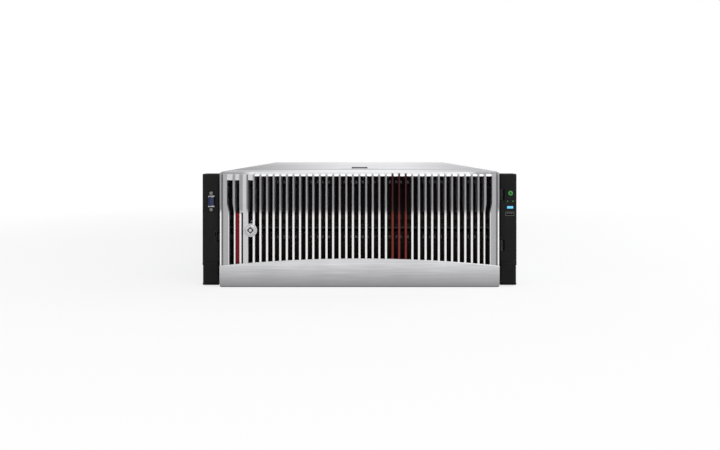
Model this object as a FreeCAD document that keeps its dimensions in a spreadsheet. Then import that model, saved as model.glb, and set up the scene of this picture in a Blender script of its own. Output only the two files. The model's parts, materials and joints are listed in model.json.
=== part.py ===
import FreeCAD, Part
import os
import re
import Sketcher
from collections import namedtuple
from FreeCAD import Placement, Rotation, Vector

# A 4U rack server in its own frame: +X to the right seen from the front, +Y into the rack, +Z up.
# All places below are measured from the rack plane, where the ears meet the rack posts. Each piece
# is moved along Y at the end, so that the origin lies under the middle of the whole machine.

SIZES = {
    # rack and ears
    "ear_span": 482.6, "ear_width": 25.0, "ear_depth": 29.0, "ear_base": 1.2, "ear_drop": 2.8,
    "ear_wall": 2.0, "ear_spine": 7.4, "ear_corner": 3.0, "ear_crown": 1.4, "ear_foot": 2.0,
    "bracket_sheet": 2.0, "bracket_leg": 60.0, "bracket_inset": 4.0, "bracket_lap": 0.7,
    "bracket_edge": 0.5,
    "rack_hole_inset": 8.75, "rack_screw_height": 20.7, "rack_screw_radius": 3.0, "rack_screw_reach": 12.0,
    "screw_neck_radius": 2.5, "screw_head_radius": 5.6, "screw_head_length": 11.0, "screw_play": 0.4,
    "screw_room": 1.4, "screw_clear": 15.95,
    "flap_top": 36.5, "flap_thickness": 6.0, "flap_play": 0.5, "flap_room": 1.2, "flap_floor": 2.2,
    "flap_recess": 0.7, "flap_ridge_height": 4.5, "flap_pin_radius": 1.2, "flap_pin_inset": 3.2,
    "flap_round": 2.2, "flap_pin_bite": 4.0,
    # bezel
    "front_reach": 43.0, "bezel_width": 424.4, "bezel_base": 0.6, "bezel_drop": 0.2,
    "bezel_gap": 2.3, "ring_gap": 0.5, "upper_proud": 1.6, "crease_drop": 46.9, "crease_tall": 14.5,
    "top_rail": 5.7, "rail_set_back": 2.2, "rail_slope": 4.8, "opening_bottom": 24.0, "opening_inset": 13.8,
    "opening_bend": 3.0, "left_opening_drop": 6.1,
    "rim_groove_inset": 4.1, "rim_groove_width": 1.2, "rim_groove_depth": 4.0,
    "shelf_inset": 2.0, "shelf_sheet": 3.0, "shelf_back": 16.0, "top_slope": 3.0, "fin_margin": 6.0,
    "fin_pitch": 10.05, "fin_thickness": 3.1, "fin_nose_width": 1.4, "fin_nose_depth": 1.8,
    "fin_back_upper": 17.0, "fin_back_lower": 31.0, "fin_end_bend": 1.6, "fin_end_thin": 1.0,
    "band_thickness": 4.0, "band_end_height": 33.0, "band_rise": 10.8, "band_edge": 1.6, "band_bow": 1.5,
    "band_corner": 2.4, "band_hem": 1.1,
    "post_width": 7.7, "post_gap": 2.5,
    # lock and latch of the bezel
    "lock_drop": 26.4, "lock_ring_radius": 10.2, "lock_ring_step": 0.8, "lock_boss_radius": 7.6,
    "lock_proud": 1.6, "lock_bore_radius": 4.25, "lock_play": 0.05, "lock_key_outer": 3.5,
    "lock_key_inner": 1.9, "lock_key_depth": 6.0, "lock_back": 16.5, "cam_sheet": 2.0, "cam_width": 8.0,
    "cam_reach": 13.0, "cam_gap": 0.5,
    "grip_width": 5.9, "grip_bottom": 36.4, "grip_recess": 1.4, "lip_width": 3.0, "latch_play": 0.3,
    "latch_travel": 2.0, "carriage_sheet": 2.6, "tongue_height": 10.0, "tongue_middle": 75.0,
    "tongue_bite": 1.5, "tongue_sheet": 3.6, "keeper_room": 2.0,
    # hinge of the bezel
    "hinge_inset": 1.9, "hinge_set_back": 3.0, "hinge_pin_radius": 1.5, "hinge_play": 0.05,
    "knuckle_radius": 3.2, "knuckle_height": 16.0, "knuckle_low": 62.0, "knuckle_drop": 31.8,
    "knuckle_room": 0.6, "knuckle_arm": 12.2, "knuckle_lap": 8.0, "notch_width": 6.2, "notch_depth": 7.2,
    "hinge_pin_bite": 6.0,
    # controls on the ears
    "power_inset": 9.7, "power_drop": 29.5, "power_radius": 4.2, "button_proud": 0.6,
    "button_play": 0.3, "button_collar": 0.9, "button_stem": 7.0, "button_travel": 1.2,
    "identify_inset": 10.3, "identify_drop": 51.3, "identify_wide": 9.2, "identify_tall": 3.4,
    "lens_inset": 10.15, "lens_gap": 8.3, "lens_drop": 41.8, "lens_radius": 1.5,
    "usb_inset": 10.8, "usb_drop": 61.0, "usb_wide": 13.1, "usb_tall": 5.7, "usb_shell": 0.45,
    "usb_depth": 14.0, "usb_tongue": 1.8, "panel_board_sheet": 1.6, "switch_gap": 0.3,
    "vga_inset": 14.1, "vga_drop": 42.1, "vga_long": 16.9, "vga_wide": 8.3, "vga_taper": 1.4,
    "vga_wall": 0.8, "vga_reach": 3.0, "vga_flange_long": 31.0, "vga_flange_wide": 12.4,
    "vga_flange_sheet": 1.2, "vga_back_depth": 9.0, "vga_post_span": 25.0, "vga_post_radius": 2.4,
    "vga_post_reach": 2.2, "vga_room": 0.4, "vga_face_set_back": 2.0,
    "service_inset": 4.9, "service_height": 79.0, "service_long": 9.0, "service_wide": 3.3,
    "service_wall": 0.4, "service_depth": 10.0,
    # chassis and cover
    "chassis_width": 434.0, "chassis_height": 174.6, "chassis_depth": 770.0, "sheet": 1.2,
    "front_plate_end": 90.0, "front_plate_reach": 10.0, "plate_inset": 2.0, "plate_gap": 1.3,
    "front_lip": 5.0,
    "cover_gap": 0.5, "cover_lip_height": 10.0, "cover_lip_gap": 0.4, "cover_lip_start": 5.0,
    "cover_lip_end": 25.0, "cover_travel": 16.0,
    "rail_hole_radius": 2.1, "rail_hole_front": 260.0, "rail_hole_span": 400.0, "rail_hole_height": 70.0,
    "well_start": 180.0, "well_length": 100.0, "well_width": 30.0, "well_depth": 14.0, "well_wall": 1.5,
    "well_flange": 4.0, "lever_width": 22.0, "lever_length": 86.0, "lever_thickness": 6.0,
    "lever_end_room": 5.5, "lever_pivot_from_end": 6.0, "lever_pivot_drop": 4.2, "lever_pin_radius": 1.5,
    "lever_play": 0.05, "lever_grip_depth": 1.2,
    # drives
    "cage_gap": 2.2, "cage_reach": 8.0, "cage_end": 128.0, "guide_sheet": 0.8, "guide_tall": 6.0,
    "bay_pitch": 17.6, "carrier_width": 16.4, "carrier_room": 4.7,
    "carrier_face": 8.0, "carrier_rail": 1.0, "carrier_rail_length": 104.0, "carrier_rail_drop": 5.0,
    "carrier_pocket_width": 11.0, "carrier_pocket_margin": 21.0, "carrier_pocket_shift": 3.0,
    "carrier_pocket_depth": 4.0,
    "carrier_vent_width": 3.6, "carrier_vent_height": 6.0, "carrier_vent_from_top": 8.5,
    "carrier_floor": 1.6,
    "module_width": 14.2, "module_height": 69.9, "module_length": 100.0,
    "handle_width": 9.4, "handle_margin": 12.0, "handle_sheet": 5.2, "handle_rise": 3.0,
    "catch_height": 7.0, "catch_gap": 1.0, "backplane_sheet": 2.0, "backplane_inset": 6.0,
    "window_bar": 28.0, "window_edge": 3.6, "window_tall": 14.0, "window_low": 65.0, "window_high": 60.0,
    # fans
    "bulkhead_place": 170.0, "bulkhead_gap": 3.8, "bulkhead_room": 1.4, "bulkhead_foot": 12.0,
    "fan_gap": 16.0, "fan_edge": 16.0, "fan_wall": 2.0, "fan_depth": 38.0,
    "fan_hub": 21.0, "fan_cup_wall": 3.0, "fan_hub_front": 3.0, "fan_hub_back": 30.0, "fan_shaft": 2.0,
    "fan_shaft_end": 36.0, "bearing_radius": 4.5, "bearing_front": 12.0, "bearing_play": 0.05,
    "fan_base_radius": 22.0, "fan_base_sheet": 3.5, "strut_width": 5.0, "blade_count": 7,
    "blade_gap": 4.0, "blade_middle": 16.0, "blade_root_rise": 10.0,
    "blade_root_sweep": 9.0, "blade_tip_rise": 8.0, "blade_tip_sweep": 15.0, "blade_sheet": 2.2,
    # boards
    "board_gap": 10.8, "board_start": 225.0, "board_end_gap": 23.0, "board_sheet": 2.0,
    "standoff_height": 8.0, "standoff_radius": 3.0, "standoff_inset": 12.0,
    "sink_gap": 7.0, "sink_length": 112.0, "sink_height": 84.0, "sink_base": 9.0,
    "sink_foot": 4.0, "sink_fin": 1.4, "sink_fin_count": 15, "sink_first": 258.0, "sink_row": 142.0,
    "row_margin": 20.0,
    "socket_width": 6.5, "socket_length": 140.0, "socket_height": 9.0, "module_sheet": 1.6,
    "module_span": 133.0, "module_rise": 31.0, "memory_pitch": 9.0, "memory_edge": 8.0,
    # supplies and rear
    "supply_gap": 3.8, "bay_width": 74.4, "bay_tall": 40.0, "cage_wall": 1.2, "connector_room": 6.0,
    "supply_width": 73.4, "supply_tall": 39.4, "supply_length": 185.5, "supply_proud": 1.5,
    "supply_fan_radius": 16.0, "supply_fan_depth": 9.0, "supply_fan_inset": 21.0,
    "inlet_inset": 19.0, "inlet_wide": 24.4, "inlet_tall": 16.8, "inlet_depth": 16.0, "inlet_cut": 4.0,
    "grip_reach": 22.0, "grip_span": 41.2, "grip_bar": 4.4, "grip_tall": 9.0, "grip_shift": 0.0,
    "tab_reach": 12.0, "tab_sheet": 3.0, "tab_tall": 15.0, "tab_inset": 5.6, "tab_travel": 2.0,
    "tab_gap": 0.3,
    "blank_sheet": 1.5, "blank_ridge": 5.0, "power_board_tall": 58.0, "power_board_sheet": 2.0,
    "expansion_depth": 166.0, "expansion_margin": 24.0, "slot_pitch": 32.5, "slot_room": 30.0,
    "slot_edge": 19.8, "slot_window": 13.5, "slot_bottom": 52.0, "slot_head": 17.4,
    "slot_cover_width": 19.0, "slot_cover_sheet": 0.9, "slot_cover_margin": 5.0, "edge_socket_width": 7.5,
    "edge_socket_length": 89.0, "edge_socket_height": 11.0,
    "vent_edge": 9.8, "vent_wide": 100.0, "vent_first": 56.0,
    "vent_tall": 5.0, "vent_pitch": 10.0, "vent_head": 11.9,
    "io_edge": 7.8, "io_wide": 110.0, "io_top": 36.0, "io_depth": 130.0, "io_gap": 4.0,
    "board_back_gap": 4.0,
    "port_proud": 1.0, "port_depth": 22.0, "lan_inset": 104.0, "lan_wide": 33.0, "lan_tall": 14.0,
    "lan_hole_wide": 11.8, "lan_hole_tall": 8.4, "lan_hole_depth": 14.0, "lan_hole_gap": 3.2,
    "stack_inset": 63.0, "stack_tall": 15.6, "display_inset": 32.0, "display_wide": 30.8,
    "display_tall": 12.5, "display_shell": 6.0,
}

PLACES = {
    "rear_reach": "chassis_depth + supply_proud + grip_reach",
    "rack_y": "(front_reach - rear_reach)/2",
    "ear_outer": "ear_span/2",
    "ear_inner": "ear_span/2 - ear_width",
    "ear_top": "chassis_height - ear_drop",
    "ear_height": "ear_top - ear_base",
    "rack_hole_span": "ear_span - 2*rack_hole_inset",
    "flap_bottom": "ear_base + flap_floor + flap_play",
    "flap_pin_x": "ear_outer - flap_pin_inset",
    "flap_pin_y": "flap_thickness/2 - ear_depth",
    "bezel_top": "chassis_height - bezel_drop",
    "bezel_half": "min(bezel_width/2; ear_inner - bezel_gap)",
    "crease_high": "bezel_top - crease_drop",
    "crease_low": "crease_high - crease_tall",
    "opening_top": "bezel_top - top_rail",
    "opening_half": "bezel_half - opening_inset",
    "rim_groove_from": "bezel_width/2 - rim_groove_inset",
    "shelf_half": "bezel_half - shelf_inset",
    "rail_face": "face_high + rail_set_back",
    "face_low": "band_thickness - front_reach",
    "face_high": "face_low - upper_proud",
    "ring_back": "-ear_depth - ring_gap",
    "upper_half": "opening_half + opening_bend",
    "fin_side": "floor((opening_half - fin_margin)/fin_pitch)",
    "fin_end": "fin_side*fin_pitch",
    "latch_left": "fin_end - fin_end_bend - fin_thickness/2 + fin_end_thin - latch_play",
    "lip_left": "latch_left - grip_width",
    "fin_top": "bezel_top - shelf_sheet/2",
    "post_right": "lip_left - lip_width - post_gap - post_width",
    "lock_x": "-(fin_side - 2.5)*fin_pitch",
    "lock_height": "crease_low - lock_drop",
    "lock_face": "face_low - lock_proud",
    "cam_front": "cam_gap - lock_back",
    "hinge_x": "ear_inner + hinge_inset",
    "hinge_y": "hinge_set_back - ear_depth",
    "knuckle_high": "ear_top - knuckle_drop",
    "arm_start": "min(bezel_width/2 - knuckle_lap; hinge_x - knuckle_arm)",
    "power_height": "ear_top - power_drop",
    "identify_height": "ear_top - identify_drop",
    "lens_height": "ear_top - lens_drop",
    "usb_height": "ear_top - usb_drop",
    "vga_height": "ear_top - vga_drop",
    "ear_face_back": "ear_wall - ear_depth",
    "panel_board_y": "usb_depth - ear_depth",
    "switch_y": "button_stem - ear_depth + button_travel + switch_gap",
    "wall_top": "chassis_height - sheet",
    "inner_half": "chassis_width/2 - sheet",
    "front_plate_half": "min(chassis_width/2 - plate_inset; ear_inner - plate_gap)",
    "cover_start": "front_plate_end + cover_gap",
    "lever_end": "well_start + well_length - well_wall - lever_end_room",
    "pivot_y": "lever_end - lever_pivot_from_end",
    "pivot_z": "chassis_height - lever_pivot_drop",
    "cage_half": "min(inner_half - cage_gap; rack_hole_span/2 - rack_screw_radius - screw_clear)",
    "cage_middle": "(sheet + wall_top)/2",
    "shelf_low": "cage_middle - sheet",
    "shelf_high": "cage_middle + sheet",
    "bay_count": "floor((2*cage_half - 2*sheet)/bay_pitch)",
    "first_bay": "-bay_pitch*(bay_count - 1)/2",
    "carrier_height": "shelf_low - 2*sheet - carrier_room",
    "carrier_rail_height": "carrier_height - carrier_rail_drop",
    "carrier_pocket_height": "carrier_height - carrier_pocket_margin",
    "handle_height": "carrier_pocket_height - handle_margin",
    "window_wide": "(2*cage_half - 3*window_bar - 2*window_edge)/4",
    "window_step": "window_wide + window_bar",
    "bulkhead_half": "inner_half - bulkhead_gap",
    "bulkhead_top": "wall_top - bulkhead_room",
    "fan_size": "(2*bulkhead_half - 2*fan_edge - 2*fan_gap)/3",
    "fan_bore": "fan_size/2 - fan_wall",
    "fan_spacing": "fan_size + fan_gap",
    "fan_height": "(sheet + bulkhead_top)/2",
    "blade_tip": "fan_bore - blade_gap",
    "board_half": "inner_half - board_gap",
    "board_length": "supply_cage_start - power_board_sheet - board_end_gap - board_start",
    "memory_side": "board_half - memory_edge - 5*memory_pitch",
    "sink_x": "(memory_side + 3.5*memory_pitch)/2",
    "sink_width": "memory_side - 3.5*memory_pitch - socket_width - 2*sink_gap",
    "sink_rows": "floor((board_length - row_margin)/sink_row)",
    "board_low": "sheet + standoff_height",
    "board_high": "board_low + board_sheet",
    "sink_low": "board_high + sink_foot",
    "bay_low": "sheet + cage_wall",
    "bay_step": "bay_width + cage_wall",
    "supply_left": "inner_half - supply_gap",
    "supply_bays": "floor((io_left + supply_left - cage_wall - io_gap)/bay_step)",
    "supply_cage_right": "supply_bays*bay_step + cage_wall - supply_left",
    "supply_cage_start": "supply_back - supply_length - connector_room",
    "first_supply": "cage_wall + bay_width/2 - supply_left",
    "supply_middle": "bay_low + bay_tall/2",
    "supply_back": "chassis_depth + supply_proud",
    "cage_top": "bay_low + bay_tall + cage_wall",
    "expansion_high": "cage_top + board_sheet",
    "expansion_start": "chassis_depth - expansion_depth",
    "expansion_end": "chassis_depth - board_back_gap",
    "expansion_width": "(slot_count - 1)*slot_pitch - slot_first + expansion_margin + supply_left",
    "vent_right": "inner_half - vent_edge",
    "vent_left": "vent_right - vent_wide",
    "vent_count": "floor((wall_top - vent_first - vent_tall - vent_head)/vent_pitch) + 1",
    "slot_first": "inner_half - slot_edge",
    "slot_count": "floor((vent_left + slot_first - slot_room)/slot_pitch) + 1",
    "slot_tall": "wall_top - slot_bottom - slot_head",
    "io_right": "inner_half - io_edge",
    "io_left": "io_right - io_wide",
    "io_start": "chassis_depth - io_depth",
    "io_end": "chassis_depth - board_back_gap",
    "lan_left": "io_right - lan_inset",
    "stack_left": "io_right - stack_inset",
    "display_left": "io_right - display_inset",
    "port_face": "chassis_depth + port_proud",
}

Round = namedtuple("Round", "u v radius")
PIECES = []
WORD = re.compile(r"[A-Za-z_]\w*")

doc = FreeCAD.newDocument("RackServer")
dims = doc.addObject("Spreadsheet::Sheet", "Dims")
for row, (alias, number) in enumerate(SIZES.items(), start=1):
    dims.set(f"A{row}", alias)
    dims.set(f"B{row}", str(number))
    dims.setAlias(f"B{row}", alias)
doc.recompute()


def expr(text):
    """Spells a short formula out: a size becomes its cell, a place becomes its own formula."""
    def spell(match):
        word = match.group(0)
        if word in SIZES:
            return "Dims." + word
        if word in PLACES:
            return "(" + expr(PLACES[word]) + ")"
        return word
    return WORD.sub(spell, str(text))


def value(text):
    """Works a short formula out."""
    return float(dims.evalExpression(expr(text)))


def bind(thing, name, text):
    thing.setExpression(name, expr(text))


def place(thing, x, y, z):
    for axis, text in zip("xyz", (x, y, z)):
        bind(thing, f"Placement.Base.{axis}", text)


def block(low, high):
    """A box between two corners."""
    solid = doc.addObject("Part::Box", "Block")
    for name, start, end in zip(("Length", "Width", "Height"), low, high):
        bind(solid, name, f"({end}) - ({start})")
    place(solid, *low)
    return solid


TURNS = {"x": Rotation(Vector(0, 1, 0), 90), "y": Rotation(Vector(1, 0, 0), -90), "z": Rotation()}


def rod(axis, start, radius, length):
    """A cylinder that runs from its start along one axis."""
    solid = doc.addObject("Part::Cylinder", "Rod")
    bind(solid, "Radius", radius)
    bind(solid, "Height", length)
    solid.Placement = Placement(Vector(), TURNS[axis])
    place(solid, *start)
    return solid


def join(*solids):
    fused = doc.addObject("Part::MultiFuse", "Join")
    fused.Shapes = list(solids)
    return fused


def carve(base, *tools):
    tool = tools[0]
    if len(tools) > 1:
        tool = doc.addObject("Part::Compound", "Tools")
        tool.Links = list(tools)
    left = doc.addObject("Part::Cut", "Carve")
    left.Base = base
    left.Tool = tool
    return left


def copies(source, places):
    """The same solid at several places, as one piece of loose solids."""
    doc.recompute()
    many = doc.addObject("Part::Feature", "Copies")
    moves = [Vector(*[value(text) for text in spot]) for spot in places]
    many.Shape = Part.makeCompound([source.Shape.translated(move) for move in moves])
    return many


def mirrored(source):
    other = doc.addObject("Part::Mirroring", "Mirrored")
    other.Source = source
    other.Normal = Vector(1, 0, 0)
    return other


def both(*solids):
    pair = doc.addObject("Part::Compound", "Pair")
    pair.Links = list(solids)
    return pair


def finish(thing, label, x="0", y="0", z="0"):
    """Names a sub-part and sets it in the frame of the whole machine."""
    thing.Label = label
    place(thing, x, f"rack_y + ({y})", z)
    PIECES.append(thing)


class Solid:
    """One body, grown feature by feature. Every pad or cut runs from its level along its plane's axis."""

    def __init__(self, name):
        self.body = doc.addObject("PartDesign::Body", name)
        self.origin = {part.Role: part for part in self.body.Origin.OriginFeatures}

    def sketch(self, plane, level, outlines):
        drawing = self.body.newObject("Sketcher::SketchObject", "Sketch")
        drawing.AttachmentSupport = (self.origin[plane + "_Plane"], [""])
        drawing.MapMode = "FlatFace"
        bind(drawing, "AttachmentOffset.Base.z", f"-({level})" if plane == "XZ" else level)
        for outline in outlines:
            if isinstance(outline, Round):
                draw_round(drawing, outline)
            else:
                draw_outline(drawing, outline)
        return drawing

    def feature(self, kind, drawing, reverse, length):
        step = self.body.newObject("PartDesign::" + kind, kind)
        step.Profile = drawing
        step.Reversed = reverse
        bind(step, "Length", length)
        self.body.Tip = step
        return step

    def pad(self, plane, level, length, *outlines):
        return self.feature("Pad", self.sketch(plane, level, outlines), plane == "XZ", length)

    def cut(self, plane, level, length, *outlines):
        return self.feature("Pocket", self.sketch(plane, level, outlines), plane != "XZ", length)

    def turn(self, outline):
        """A solid of revolution about the Y axis; the outline gives radius and place along Y."""
        step = self.body.newObject("PartDesign::Revolution", "Turn")
        step.Profile = self.sketch("XY", "0", [outline])
        step.ReferenceAxis = (self.origin["Y_Axis"], [""])
        step.Angle = 360
        self.body.Tip = step
        return step

    def loft(self, plane, first, second):
        """A solid drawn out between two outlines, each given as level and corners."""
        step = self.body.newObject("PartDesign::AdditiveLoft", "Loft")
        step.Profile = self.sketch(plane, first[0], [first[1]])
        step.Sections = [(self.sketch(plane, second[0], [second[1]]), [""])]
        self.body.Tip = step
        return step

    def row(self, features, axis, step, count):
        pattern = self.body.newObject("PartDesign::LinearPattern", "Row")
        pattern.Originals = features
        pattern.Direction = (self.origin[axis + "_Axis"], [""])
        bind(pattern, "Length", f"({step})*(({count}) - 1)")
        bind(pattern, "Occurrences", count)
        self.body.Tip = pattern
        return pattern

    def row_of_all(self, axis, step, count):
        """Repeats the whole body along one axis."""
        whole = self.body.Tip
        pattern = self.row([], axis, step, count)
        pattern.TransformMode = "Whole shape"
        pattern.BaseFeature = whole
        return pattern

    def ring(self, features, axis, count):
        pattern = self.body.newObject("PartDesign::PolarPattern", "Ring")
        pattern.Originals = features
        pattern.Axis = (self.origin[axis + "_Axis"], [""])
        pattern.Angle = 360
        bind(pattern, "Occurrences", count)
        self.body.Tip = pattern
        return pattern

    def soften(self, kind, size, wanted):
        """Rounds or bevels the edges whose middle passes a test."""
        doc.recompute()
        tip = self.body.Tip
        names = [f"Edge{k}" for k, edge in enumerate(tip.Shape.Edges, start=1) if wanted(edge)]
        step = self.body.newObject("PartDesign::" + kind, kind)
        step.Base = (tip, names)
        bind(step, "Radius" if kind == "Fillet" else "Size", size)
        self.body.Tip = step
        return step


def draw_round(drawing, circle):
    spot = Vector(value(circle.u), value(circle.v), 0)
    index = drawing.addGeometry(Part.Circle(spot, Vector(0, 0, 1), value(circle.radius)))
    hold(drawing, [(Sketcher.Constraint("DistanceX", -1, 1, index, 3, spot.x), circle.u),
                   (Sketcher.Constraint("DistanceY", -1, 1, index, 3, spot.y), circle.v),
                   (Sketcher.Constraint("Radius", index, value(circle.radius)), circle.radius)])


def hold(drawing, pairs):
    """Adds constraints, each with the formula it follows."""
    first = drawing.ConstraintCount
    drawing.addConstraint([constraint for constraint, text in pairs])
    for number, (constraint, text) in enumerate(pairs, start=first):
        if text is not None:
            bind(drawing, f"Constraints[{number}]", text)


def draw_edge(drawing, start, end, rise):
    """One edge of an outline, straight or bowed; returns its number and the numbers of its two ends."""
    if rise is None:
        return drawing.addGeometry(Part.LineSegment(start, end)), 1, 2
    along = end - start
    side = Vector(along.y, -along.x, 0).normalize()
    index = drawing.addGeometry(Part.Arc(start, (start + end) * 0.5 + side * rise, end))
    if (drawing.getPoint(index, 1) - start).Length < (drawing.getPoint(index, 2) - start).Length:
        return index, 1, 2
    return index, 2, 1


def draw_outline(drawing, corners):
    """A closed outline. A third entry bows the edge that ends at its corner out to the right by that rise."""
    spots = [Vector(value(corner[0]), value(corner[1]), 0) for corner in corners]
    rises = [value(corner[2]) if len(corner) == 3 else None for corner in corners]
    edges = [draw_edge(drawing, spots[k - 1], spots[k], rises[k]) for k in range(len(corners))]
    pairs = []
    for k, corner in enumerate(corners):
        index, first, last = edges[k]
        following, follow_first, follow_last = edges[(k + 1) % len(edges)]
        pairs.append((Sketcher.Constraint("Coincident", index, last, following, follow_first), None))
        pairs.append((Sketcher.Constraint("DistanceX", -1, 1, index, last, spots[k].x), corner[0]))
        pairs.append((Sketcher.Constraint("DistanceY", -1, 1, index, last, spots[k].y), corner[1]))
        if rises[k] is not None:
            before = corners[k - 1]
            half = f"(((({corner[0]}) - ({before[0]}))^2 + (({corner[1]}) - ({before[1]}))^2)/4"
            radius = f"{half} + ({corner[2]})^2)/(2*abs({corner[2]}))"
            pairs.append((Sketcher.Constraint("Radius", index, value(radius)), radius))
    hold(drawing, pairs)


def rectangle(u_low, v_low, u_high, v_high):
    return [(u_low, v_low), (u_high, v_low), (u_high, v_high), (u_low, v_high)]


def centred(u, v, wide, tall):
    return rectangle(f"{u} - ({wide})/2", f"{v} - ({tall})/2", f"{u} + ({wide})/2", f"{v} + ({tall})/2")


def sided(side, text):
    """A place on the right side of the machine, or the same place on its left side."""
    return text if side > 0 else f"-({text})"


def side_box(side, u_low, v_low, u_high, v_high):
    first, second = (u_low, u_high) if side > 0 else (f"-({u_high})", f"-({u_low})")
    return rectangle(first, v_low, second, v_high)


# bezel: a ring with a row of deep fins, trimmed to a face with one crease across it
FRONT_CUT = [
    ("face_low - 30", "bezel_base - 5"), ("face_low", "bezel_base - 5"), ("face_low", "crease_low"),
    ("face_high", "crease_high"), ("face_high", "bezel_top - top_slope"),
    ("face_high + top_slope", "bezel_top"), ("face_high + top_slope", "bezel_top + 5"),
    ("face_low - 30", "bezel_top + 5"),
]
BACK_CUT = rectangle("-fin_back_lower", "opening_bottom", "5", "crease_low")


def fin_section(x):
    """The section of a fin seen from above, with a narrowed nose."""
    half = "fin_thickness/2"
    nose = "fin_nose_width/2"
    return [
        (f"{x} - {half}", "-fin_back_upper"), (f"{x} - {half}", "face_high + fin_nose_depth"),
        (f"{x} - {nose}", "face_high"), (f"{x} + {nose}", "face_high"),
        (f"{x} + {half}", "face_high + fin_nose_depth"), (f"{x} + {half}", "-fin_back_upper"),
    ]


def bent_fin(side):
    """The last fin of the row, which steps inwards at the crease and is thinner below it."""
    low = "fin_end - fin_end_bend"
    half = "fin_thickness/2"
    path = [(low, "opening_bottom - 1"), (low, "crease_low"), ("fin_end", "crease_high"),
            ("fin_end", "fin_top")]
    outer = [(sided(side, f"{x} + {half}"), z) for x, z in path]
    thin = ["fin_end_thin", "fin_end_thin", "0", "0"]
    inner = [(sided(side, f"{x} - {half} + {less}"), z) for (x, z), less in reversed(list(zip(path, thin)))]
    return outer + inner


FOOT_BOW = "0.29289*band_corner"
FRONT_FOOT = [
    ("band_corner - bezel_width/2", "bezel_base", FOOT_BOW), ("bezel_width/2 - band_corner", "bezel_base"),
    ("bezel_width/2", "bezel_base + band_corner", FOOT_BOW),
]

bezel = Solid("BezelFrame")
ring_depth = "ring_back - face_high"
bezel.pad("XZ", "face_high", ring_depth,
          FRONT_FOOT + [("bezel_width/2", "bezel_top"), ("-bezel_width/2", "bezel_top"),
                        ("-bezel_width/2", "bezel_base + band_corner")],
          [("-opening_half", "opening_bottom"), ("opening_half", "opening_bottom"),
           ("opening_half", "crease_low"),
           ("upper_half", "crease_high"), ("upper_half", "opening_top"), ("-upper_half", "opening_top"),
           ("-upper_half", "crease_high"), ("-opening_half", "crease_low")])
bezel.pad("XZ", "face_high", ring_depth,
          rectangle("-upper_half - 1", "opening_top - left_opening_drop", "-(fin_side - 3)*fin_pitch",
                    "opening_top + 1"))
for first, last, low in (("-upper_half", "-(fin_side - 3)*fin_pitch", "opening_top - left_opening_drop"),
                         ("-(fin_side - 3)*fin_pitch", "upper_half", "opening_top")):
    bezel.cut("YZ", first, f"{last} - ({first})", [
        ("face_high - 5", f"{low} - 1"), ("rail_face", f"{low} - 1"), ("rail_face", low),
        ("rail_face + rail_slope", "bezel_top"), ("rail_face + rail_slope", "bezel_top + 5"),
        ("face_high - 5", "bezel_top + 5")])
shelf = "-shelf_back - ring_back + 1"
bezel.pad("XZ", "ring_back - 1", shelf, rectangle("-shelf_half", "bezel_top - shelf_sheet", "shelf_half",
                                                  "bezel_top"))
bezel.pad("XZ", "ring_back - 1", shelf, rectangle("-shelf_half", "bezel_base", "shelf_half",
                                                  "bezel_base + shelf_sheet"))
bezel.pad("XZ", "face_high", "-fin_back_upper - face_high", bent_fin(-1), bent_fin(1))
bezel.pad("XZ", "face_high", "-fin_back_upper - face_high",
          rectangle("-post_right - post_width", "opening_bottom - 1", "-post_right", "fin_top"))
bezel.pad("XZ", "face_high", "-fin_back_upper - face_high",
          rectangle("-(fin_side - 1)*fin_pitch - fin_thickness/2", "crease_low + latch_play",
                    "-post_right - 1", "fin_top"))
bezel.cut("YZ", "1 - opening_half", "2*opening_half - 2", BACK_CUT)
bezel.cut("YZ", "-bezel_width", "2*bezel_width", FRONT_CUT)
groove_top = "bezel_top + 5"
bezel.cut("XZ", "face_high - 1", "rim_groove_depth + 1",
          *[side_box(side, "rim_groove_from", "band_end_height", "rim_groove_from + rim_groove_width",
                     groove_top)
            for side in (-1, 1)])
for middle in ("knuckle_low", "knuckle_high"):
    level = f"{middle} - knuckle_height/2"
    bezel.pad("XY", level, "knuckle_height",
              rectangle("arm_start", "ring_back - 0.5", "hinge_x", "hinge_y + knuckle_radius/2"))
    bezel.pad("XY", level, "knuckle_height", Round("hinge_x", "hinge_y", "knuckle_radius"))
    bezel.cut("XY", f"{level} - 1", "knuckle_height + 2", Round("hinge_x", "hinge_y",
                                                                "hinge_pin_radius + hinge_play"))


last_fin = int(value("fin_side"))
LOCK_SEAT = Round("lock_x", "lock_height", "lock_ring_radius")


def fin_row(name, first, count, bottom, top):
    """A run of fins, trimmed to the creased face and cut back behind its lower half."""
    fins = Solid(name)
    fins.pad("XY", bottom, f"{top} - ({bottom})", fin_section(f"{first}*fin_pitch"))
    fins.cut("YZ", f"{first - 1}*fin_pitch", "2*fin_pitch", BACK_CUT)
    fins.cut("YZ", f"{first - 1}*fin_pitch", "2*fin_pitch", FRONT_CUT)
    if count == "1":
        fins.cut("XZ", "face_high - 5", "40", LOCK_SEAT)
    else:
        fins.row_of_all("X", "fin_pitch", count)
    return fins.body


fin_bottom = "opening_bottom - 1"
bezel.cut("XZ", "face_high - 5", "40", LOCK_SEAT)
grille = join(bezel.body, *[fin_row(f"Fins{first}", first, count, fin_bottom, "fin_top")
                            for first, count in ((3 - last_fin, "1"), (4 - last_fin, f"{last_fin + 1}"),
                                                 (8, f"{last_fin - 8}"))])
finish(grille, "bezel_frame")

finish(fin_row("AccentFins", 5, "3", "opening_bottom", "opening_top"), "accent_fins")

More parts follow.
